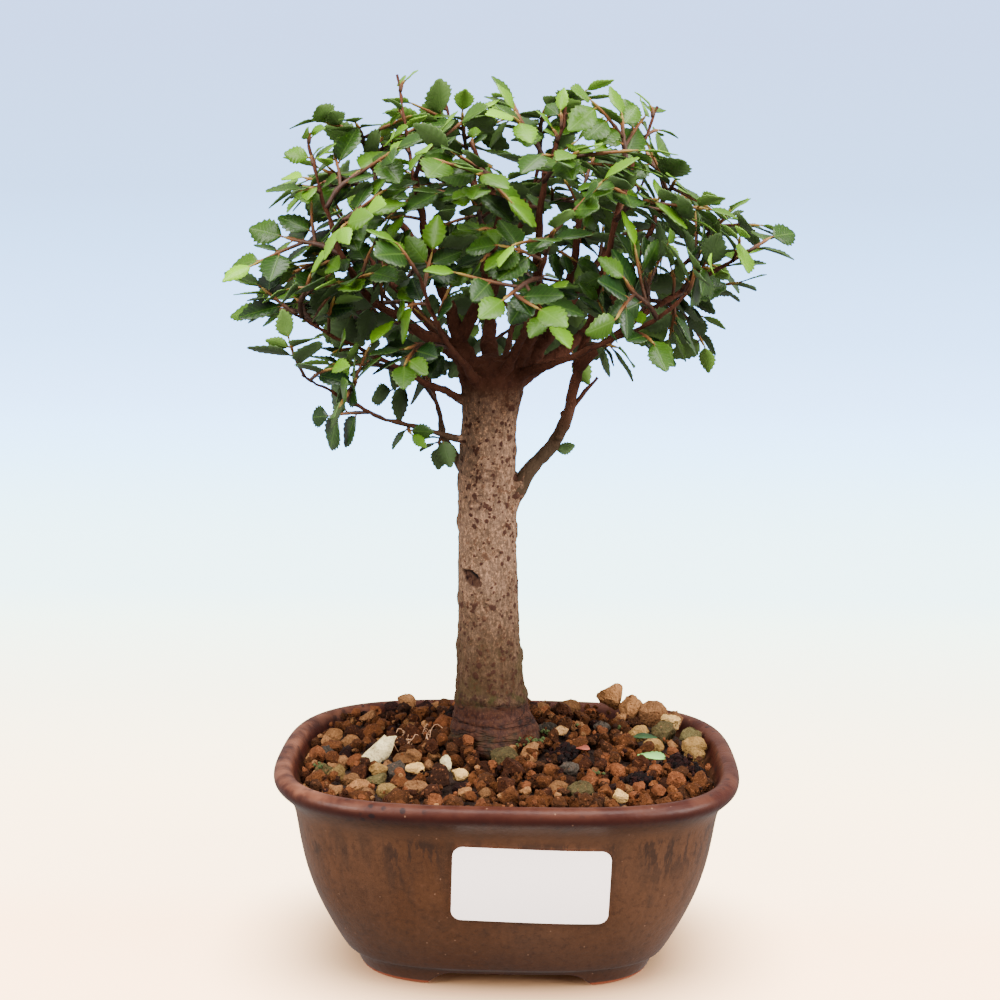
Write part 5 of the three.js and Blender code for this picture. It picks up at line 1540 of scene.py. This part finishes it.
        red_wood = look.coats(
            finish.limbs,
            (mid.step(0.35, 0.65), (126, 79, 61)),
            (grain.step(0.5, 0.7) * 0.5, (68, 42, 34)),
            (fleck.step(0.56, 0.7) * 0.6, (160, 116, 94)),
        )
        grey_wood = look.mix(mid.step(0.35, 0.65), paint(92, 72, 56), paint(116, 92, 72))
        reddening = z.step(self.grey_end * MM, self.red_start * MM)
        old_cut = look.mix(grain.step(0.42, 0.6), paint(66, 43, 35), paint(118, 84, 67))
        shade = look.coats(
            finish.trunk,
            (mid.step(0.3, 0.7), (148, 122, 98)),
            (fine.step(0.45, 0.7) * 0.6, (200, 178, 156)),
            (grain.step(0.48, 0.66) * (0.3 + low * 0.4), (114, 84, 63)),
            ((1 - fleck.step(0.36, 0.5)) * (0.5 + low * 0.3), (102, 72, 52)),
            (fleck.step(0.54, 0.68) * (0.6 - low * 0.25), (216, 194, 166)),
            (low * (0.5 + mid * 0.6), (88, 64, 45)),
            (green * low * 0.4, (96, 90, 56)),
            (blemish * (0.85 - low * 0.2), finish.pores),
            (rust * 0.6, (112, 68, 50)),
            (high * (0.5 + grain * 0.7), (100, 60, 43)),
            (base, root),
            (seam * look.noise(0.0035).step(0.5, 0.6) * 0.6, (80, 80, 46)),
            (seam * (1 - grain.step(0.4, 0.5)) * 0.6, (66, 42, 32)),
            (scar.step(0, 0.5), old_cut),
            (scar.step(0.2, 0.5) * fleck.step(0.48, 0.62) * 0.6, (140, 100, 76)),
            # painted shade deep in the old cut's hollow, under its raised rim
            (scar.step(0.62, 1), (44, 28, 23)),
            (limb.step(0.1, 0.9), look.mix(reddening, grey_wood, red_wood)),
        )
        relief = fine * 0.7 + grain * 0.9 + fleck * 0.5 + blemish * 0.4 - wrinkle * base * 0.8
        return look.dress(shade, relief, 0.0005, 0.8, 0.86 - base * 0.15)


def leaf_blade(thickness, teeth=7, tooth=0.12):
    """One leaf, flat and a unit long: along, across as a share of its half width, and thickness"""
    rows = 2 * teeth
    bpy.ops.object.select_all(action="DESELECT")
    bpy.ops.mesh.primitive_grid_add(x_subdivisions=rows, y_subdivisions=2, size=1)
    leaf = bpy.context.object
    points = corners(leaf)
    row = np.rint((points[:, 0] + 0.5) * rows).astype(int)
    hand = np.sign(np.round(points[:, 1], 3))
    u = row / rows
    out = np.where(row % 2 == 1, 1 + tooth, 1 - 0.6 * tooth)
    forward = np.where(row % 2 == 1, 0.028, 0) * (hand != 0)
    inner = (row > 0) & (row < rows)
    wide = np.where(inner, breadth(np.clip(u, 0.02, 0.985)) * out, np.where(row == 0, 0.1, 0.03))
    set_corners(leaf, np.stack((0.07 + 0.93 * (u + forward), wide * hand, 0 * u), 1))
    modify(leaf, "SOLIDIFY", thickness=0.02, offset=0)
    points = corners(leaf)
    points[:, 2] = np.sign(points[:, 2]) * thickness / 2
    faces = [tuple(face.vertices) for face in leaf.data.polygons]
    bpy.data.objects.remove(leaf, do_unlink=True)
    return points, faces


class MakeSprays(Operator):
    """Grows the leafy shoots: stems, side twigs, leaf stalks and toothed leaves"""
    bl_idname = "bonsai.sprays"
    bl_label = "Leafy sprays"

    # What each vertex of a spray carries for its material
    fields = ("age", "luck", "upper", "leaf_u", "leaf_v")
    # How young a leaf is that stands up to a distance from its shoot's tip, and how young the others are
    youth, grown = ((2.5, 0.95), (5, 0.6)), 0.1
    stalk_radii = (0.38, 0.2)
    stem_sides, twig_sides, ring_step = 8, 6, 1.2
    bud_swell, bud_width = 0.35, 0.7

    def execute(self, context):
        finish = context.scene.bonsai_leaves
        growth = Growth()
        growth.grow()
        nodes = sorted(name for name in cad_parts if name.startswith("spray_"))
        if len(growth.sprays) != len(nodes):
            raise RuntimeError(f"{len(growth.sprays)} sprays have grown for {len(nodes)} solids")
        growth.fill()
        short = growth.short_shoots()
        self.blade = leaf_blade(finish.thickness / MM)
        self.looks = [leaf_look(finish), shoot_look()]
        self.random = np.random.default_rng(3)
        for spray, node in zip(growth.sprays, nodes):
            self.spray(node.replace("spray", "leafy_spray"), [spray], node)
        for k in range(SHORT_SHOOT_PIECES):
            self.spray(f"short_shoots_{k + 1}", short[k::SHORT_SHOOT_PIECES])
        return {"FINISHED"}

    def spray(self, name, sprays, *nodes):
        batch, kinds = Batch(), []
        for leaf in (leaf for spray in sprays for leaf in spray.leaves):
            points, marks, age = self.leaf(leaf)
            batch.add(points, self.blade[1], marks)
            kinds += [0] * len(self.blade[1])
            points, faces = self.stalk(leaf)
            batch.add(points, faces, np.tile((0.75 + 0.25 * age, 0.5, 1, 0.5, 0), (len(points), 1)))
            kinds += [1] * len(faces)
        for shoot in (shoot for spray in sprays for shoot in spray.shoots):
            points, faces, young = self.tube(shoot, shoot.radii is STEM_RADII)
            marks = np.zeros((len(points), len(self.fields)))
            marks[:, 0] = young
            batch.add(points, faces, marks)
            kinds += [1] * len(faces)
        piece = batch.piece(name)
        for field, column in zip(self.fields, np.concatenate(batch.marks).T):
            mark(piece, field, column)
        done(piece, "leaf", self.looks, *nodes)
        piece.data.polygons.foreach_set("material_index", kinds)

    def leaf(self, leaf):
        """A leaf's points and their marks, and its age: 1 is the youngest"""
        random, (u, v, w) = self.random, self.blade[0].T
        young = next((share for reach, share in self.youth if leaf.tip_distance < reach), self.grown)
        away = size((leaf.root - CROWN_CENTRE) / np.array(CROWN_REACH))
        high = (leaf.root[2] - 224) / 60
        age = float(np.clip(young * random.uniform(0, 1.1) * away + 0.26 * high, 0, 1)) ** 1.4
        fold = random.uniform(0.06, 0.3)
        narrow = (1 - 0.3 * age) * (1 - (0.1 + 0.35 * age) * np.clip((u - 0.62) / 0.38, 0, 1) ** 1.5)
        lift = fold * np.abs(v) * leaf.half * narrow * (1 - 0.5 * u)
        curl = 0.35 * np.sin(u * 9 + random.uniform(0, 6)) * np.abs(v) * (0.4 + 0.6 * random.random())
        same = np.ones(len(u))
        marks = np.stack((same * age, same * random.random(), (w > 0).astype(float), u, v), 1)
        return leaf.at(u, v * narrow, w + lift + curl * 0.6), marks, age

    def stalk(self, leaf):
        """A thin stalk of three sides from the shoot to the blade"""
        ends = leaf.at(np.array((0, 0.16)), np.zeros(2), np.zeros(2))
        rows = []
        for end, thick in zip(ends, self.stalk_radii):
            for k in range(3):
                turn = 2 * math.pi * k / 3
                rows.append(end + leaf.side * (thick * math.cos(turn)) + leaf.up * (thick * math.sin(turn)))
        faces = [(0, 2, 1), (3, 4, 5), (0, 1, 4, 3), (1, 2, 5, 4), (2, 0, 3, 5)]
        return np.array(rows), faces

    def tube(self, shoot, is_stem):
        """A shoot that swells at its buds and ends in a short point"""
        sides = self.stem_sides if is_stem else self.twig_sides
        rings = max(6, int(shoot.length / self.ring_step))
        bud_places = [t for t, _, _ in shoot.buds]
        rows, young = [], []
        for k in range(rings + 1):
            t = k / rings
            ahead = heading(shoot.points, t)
            up = shoot.facing(t)
            left = cross(up, ahead)
            radius = between(shoot.radii, t)
            near = min((abs(t - b) for b in bud_places), default=1) * shoot.length
            radius *= 1 + self.bud_swell * math.exp(-(near / self.bud_width) ** 2)
            if k == rings:
                radius *= 0.35
            middle = along(shoot.points, t)
            for i in range(sides):
                turn = 2 * math.pi * i / sides
                rows.append(middle + left * (radius * math.cos(turn)) + up * (radius * math.sin(turn)))
                young.append(t ** 1.6 if is_stem else 0.35 + 0.65 * t)
        faces = []
        for a in range(0, rings * sides, sides):
            for i in range(sides):
                j = (i + 1) % sides
                faces.append((a + i, a + j, a + sides + j, a + sides + i))
        faces.append(tuple(range(sides - 1, -1, -1)))
        faces.append(tuple(rings * sides + i for i in range(sides)))
        return np.array(rows), faces, young


def leaf_look(finish):
    look = Look("elm leaf", 0.42, IOR=1.42, Specular_IOR_Level=0.4,
                Subsurface_Weight=0.1, Subsurface_Radius=(0.3, 0.6, 0.15), Subsurface_Scale=0.0008)
    age, luck, upper, u, v = (look.attribute(name) for name in MakeSprays.fields)
    across = v.size()
    blotch = look.noise(0.005, 3, 0.6)
    grown = look.coats(finish.grown, (luck, (63, 99, 34)), (blotch.step(0.35, 0.75) * 0.5, (36, 66, 26)))
    fresh = look.coats(finish.young, (luck, (168, 198, 44)))
    rays = look.maths("SINE", (u - across * 0.22) * 62)
    veins = rays.step(0.8, 1.0) * (1 - across.step(0.6, 1.0))
    rib = 1 - across.step(0.015, 0.07)
    vein = (veins * 0.55).above(rib)
    under = look.mix(age, paint(116, 140, 88), paint(162, 188, 98))
    shade = look.coats(
        grown,
        (age, fresh),
        (vein * 0.18, (164, 190, 100)),
        (across.step(0.84, 1.0) * 0.35, (146, 168, 88)),
        ((1 - upper) * 0.75, under),
    )
    relief = 0 - vein * 0.5 + blotch * 0.5
    rough = 0.34 + (1 - upper) * 0.3 + blotch * 0.16
    return look.dress(shade, relief, 0.00015, 0.5, rough)


def shoot_look():
    look = Look("young shoot", 0.6, Specular_IOR_Level=0.3)
    age = look.attribute("age")
    fine = look.noise(0.0009, 3, 0.6, (1, 1, 0.5))
    shade = look.ramp(age, [(0, paint(84, 56, 46)), (0.5, paint(104, 68, 50)), (0.8, paint(164, 118, 66)),
                            (1, paint(176, 164, 84))])
    shade = look.coats(shade, (fine.step(0.5, 0.8) * 0.4, (176, 138, 104)))
    return look.dress(shade, fine, 0.0002, 0.8)


class MakeLitter(Operator):
    """Lays the shed leaves, white roots and moss on the soil"""
    bl_idname = "bonsai.litter"
    bl_label = "Shed leaves, roots and moss"

    # The pale shed leaf has its place from its solid: turn, length, half width and colour
    pale = (2.6, 11, 3.8, (186, 214, 160))
    # The others: name, place, turn, length, half width and colour
    shed = (
        ("shed_leaf_dark", 42.5, 17, 0.1, 9, 2.6, (58, 104, 44)),
        ("shed_leaf_dry", 28, -3, 2.7, 7, 2.4, (190, 120, 92)),
    )
    # Moss: place, width of the patch and number of tufts
    moss_patches = ((6, -3, 3.2, 26), (9.5, 0, 2.4, 16), (13, 10, 2.2, 12), (24, 24, 1.4, 8),
                    (-62, -15, 2.2, 12), (38, 28, 1.2, 6), (30, -20, 1.4, 8))
    root_count, root_radius, root_step = 16, 0.16, 1.1

    def execute(self, context):
        self.blade = leaf_blade(context.scene.bonsai_leaves.thickness / MM)
        turn, reach, half, shade = self.pale
        ahead = np.array((math.cos(turn), math.sin(turn), 0.05))
        low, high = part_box("fallen_leaf")
        root = middle_of(low, high) - ahead * reach / 2 + np.array((0, 0, 0.3))
        self.lay("shed_leaf_pale", root, turn, reach, half, shade, "fallen_leaf")
        for name, x, y, turn, reach, half, shade in self.shed:
            self.lay(name, np.array((x, y, soil_height(x, y) + 3.6)), turn, reach, half, shade)
        self.roots()
        self.moss()
        return {"FINISHED"}

    def lay(self, name, root, turn, reach, half, shade, *nodes):
        shape, faces = self.blade
        axis = unit(np.array((math.cos(turn), math.sin(turn), 0.05)))
        lean = np.array((0.06, -0.05, 1.0))
        up = unit(lean - axis * dot(lean, axis))
        leaf = Leaf(root, axis, cross(up, axis), up, reach, half, 0.8)
        u, v, w = shape.T
        piece = mesh_piece(name, leaf.at(u, v, w + 0.5 * np.abs(v) * np.sin(3 * u)), faces)
        mark(piece, "leaf_v", v)
        look = Look(name.replace("_", " "), 0.6)
        rib = 1 - look.attribute("leaf_v").size().step(0.02, 0.1)
        mottle = look.noise(0.002, 3, 0.6)
        darker, paler = tuple(int(c * 0.72) for c in shade), tuple(int(c * 0.8 + 40) for c in shade)
        look.dress(look.coats(paint(*shade), (mottle * 0.5, darker), (rib * 0.5, paler)), mottle, 0.0002)
        done(piece, "leaf", [look.material], *nodes)

    def roots(self):
        random = np.random.default_rng(9)
        lines = []
        for _ in range(self.root_count):
            x, y = -29 + random.normal(0, 4), 9 + random.normal(0, 3)
            turn = random.uniform(0, 2 * math.pi)
            rows = []
            for k in range(9):
                z = soil_height(x, y) + 2.6 + 1.3 * math.sin(k * 1.3 + turn)
                rows.append((x, y, z, self.root_radius))
                turn += random.normal(0, 0.55)
                x, y = x + self.root_step * math.cos(turn), y + self.root_step * math.sin(turn)
            lines.append(np.array(rows))
        roots = rods("fine_roots", lines, 1)
        look = Look("pale roots", 0.7)
        tone = look.noise(0.003)
        look.dress(look.mix(tone, paint(214, 196, 172), paint(166, 128, 98)), tone, 0.0001)
        done(roots, "soil", [look.material])

    def moss(self):
        random = np.random.default_rng(4)
        lumps = [rough_lump(30 + i) for i in range(3)]
        batch = Batch()
        for x, y, wide, count in self.moss_patches:
            for _ in range(count):
                px, py = x + random.normal(0, wide * 0.45), y + random.normal(0, wide * 0.45)
                shape, faces = lumps[random.integers(3)]
                span = random.uniform(0.7, 1.5)
                place = np.array((px, py, soil_height(px, py) + 2.5 + random.uniform(0, 0.8)))
                batch.add(shape * span + place, faces)
        look = Look("moss", 0.9)
        tone = look.noise(0.0012, 3)
        look.dress(look.mix(tone, paint(74, 88, 42), paint(116, 134, 62)), look.noise(0.0003), 0.0004)
        done(batch.piece("moss_tufts"), "soil", [look.material])


class MakeTag(Operator):
    """Cuts the blank paper tag and lays it on the front of the pot"""
    bl_idname = "bonsai.tag"
    bl_label = "Blank tag"

    width, height, corner = 48.5, 25.4, 3.2
    # Its middle, to the right and above the floor, and its turn in degrees
    x, z, turn = 8.6, 41.2, -1.6
    # The paper's thickness, and how far it stands off the glaze
    paper, off_glaze = 0.22, 0.7
    # Painted light: the paper glows a little of its own, which brings it to the photograph's tone
    glow_tone, glow_strength = (1.0, 0.74, 0.64), 1.7

    def execute(self, context):
        bpy.ops.object.select_all(action="DESELECT")
        bpy.ops.mesh.primitive_grid_add(x_subdivisions=48, y_subdivisions=24, size=2)
        tag = bpy.context.object
        tag.name = "blank_tag"
        points = corners(tag)
        u = np.sin(points[:, 0] * math.pi / 2) * self.width / 2
        bent = np.maximum(np.abs(u) - (self.width / 2 - self.corner), 0)
        tall = self.height / 2 - self.corner + np.sqrt(np.maximum(self.corner ** 2 - bent ** 2, 0))
        w = points[:, 1] * tall
        turn = math.radians(self.turn)
        low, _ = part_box("tag")
        front = low.y / MM - POT_MIDDLE[1] / MM - 8
        place = np.stack((self.x + u * math.cos(turn) - w * math.sin(turn), np.full(len(u), front),
                          self.z + u * math.sin(turn) + w * math.cos(turn)), 1)
        set_corners(tag, to_frame(place))
        pot = bpy.data.objects["pot_glazed"]
        modify(tag, "SHRINKWRAP", target=pot, wrap_method="PROJECT", use_project_y=True,
               use_positive_direction=True, use_negative_direction=True, offset=self.off_glaze * MM)
        modify(tag, "SOLIDIFY", thickness=self.paper * MM, offset=1)
        # The paper's emission is painted light
        look = Look("tag paper", 0.5, Emission_Color=self.glow_tone, Emission_Strength=self.glow_strength)
        fibre = look.noise(0.0009, 3, 0.6)
        soft = look.noise(0.02, 2, 0.5)
        shade = look.mix(soft * 0.5 + fibre * 0.15, (0.94, 0.88, 0.85), (0.9, 0.82, 0.78))
        look.dress(shade, fibre, 0.00004, 0.5)
        done(tag, "paper", [look.material], "tag", angle=50)
        return {"FINISHED"}


class BonsaiPanel(Panel):
    """Lists the pieces and their finishes"""
    bl_label = "Bonsai"
    bl_idname = "VIEW3D_PT_bonsai"
    bl_space_type = "VIEW_3D"
    bl_region_type = "UI"
    bl_category = "Bonsai"

    def draw(self, context):
        groups = (
            (MakeStage, "bonsai_studio"), (MakePot, "bonsai_pot"), (MakeSoil, "bonsai_soil"),
            (MakeWood, "bonsai_bark"), (MakeSprays, "bonsai_leaves"), (MakeLitter, None), (MakeTag, None),
        )
        for operator, finish in groups:
            box = self.layout.box()
            box.operator(operator.bl_idname)
            if finish:
                group = getattr(context.scene, finish)
                for key in group.__annotations__:
                    box.prop(group, key)


FINISHES = {
    "bonsai_pot": PotFinish, "bonsai_soil": SoilFinish, "bonsai_bark": BarkFinish,
    "bonsai_leaves": LeafFinish, "bonsai_studio": StudioFinish,
}
OPERATORS = (MakeStage, MakePot, MakeSoil, MakeWood, MakeSprays, MakeLitter, MakeTag)


def register():
    for made in (*FINISHES.values(), *OPERATORS, BonsaiPanel):
        bpy.utils.register_class(made)
    for name, group in FINISHES.items():
        setattr(bpy.types.Scene, name, PointerProperty(type=group))


def unregister():
    for name in FINISHES:
        delattr(bpy.types.Scene, name)
    for made in (BonsaiPanel, *reversed(OPERATORS), *reversed(FINISHES.values())):
        bpy.utils.unregister_class(made)


def main():
    register()
    bpy.ops.bonsai.stage()
    bpy.ops.bonsai.pot()
    bpy.ops.bonsai.soil()
    bpy.ops.bonsai.wood()
    bpy.ops.bonsai.sprays()
    bpy.ops.bonsai.litter()
    bpy.ops.bonsai.tag()
    boxes = {"cad": CAD_BOX, "visual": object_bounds()}
    {name: [list(corner) for corner in box] for name, box in boxes.items()}


if __name__ == "__main__":
    main()
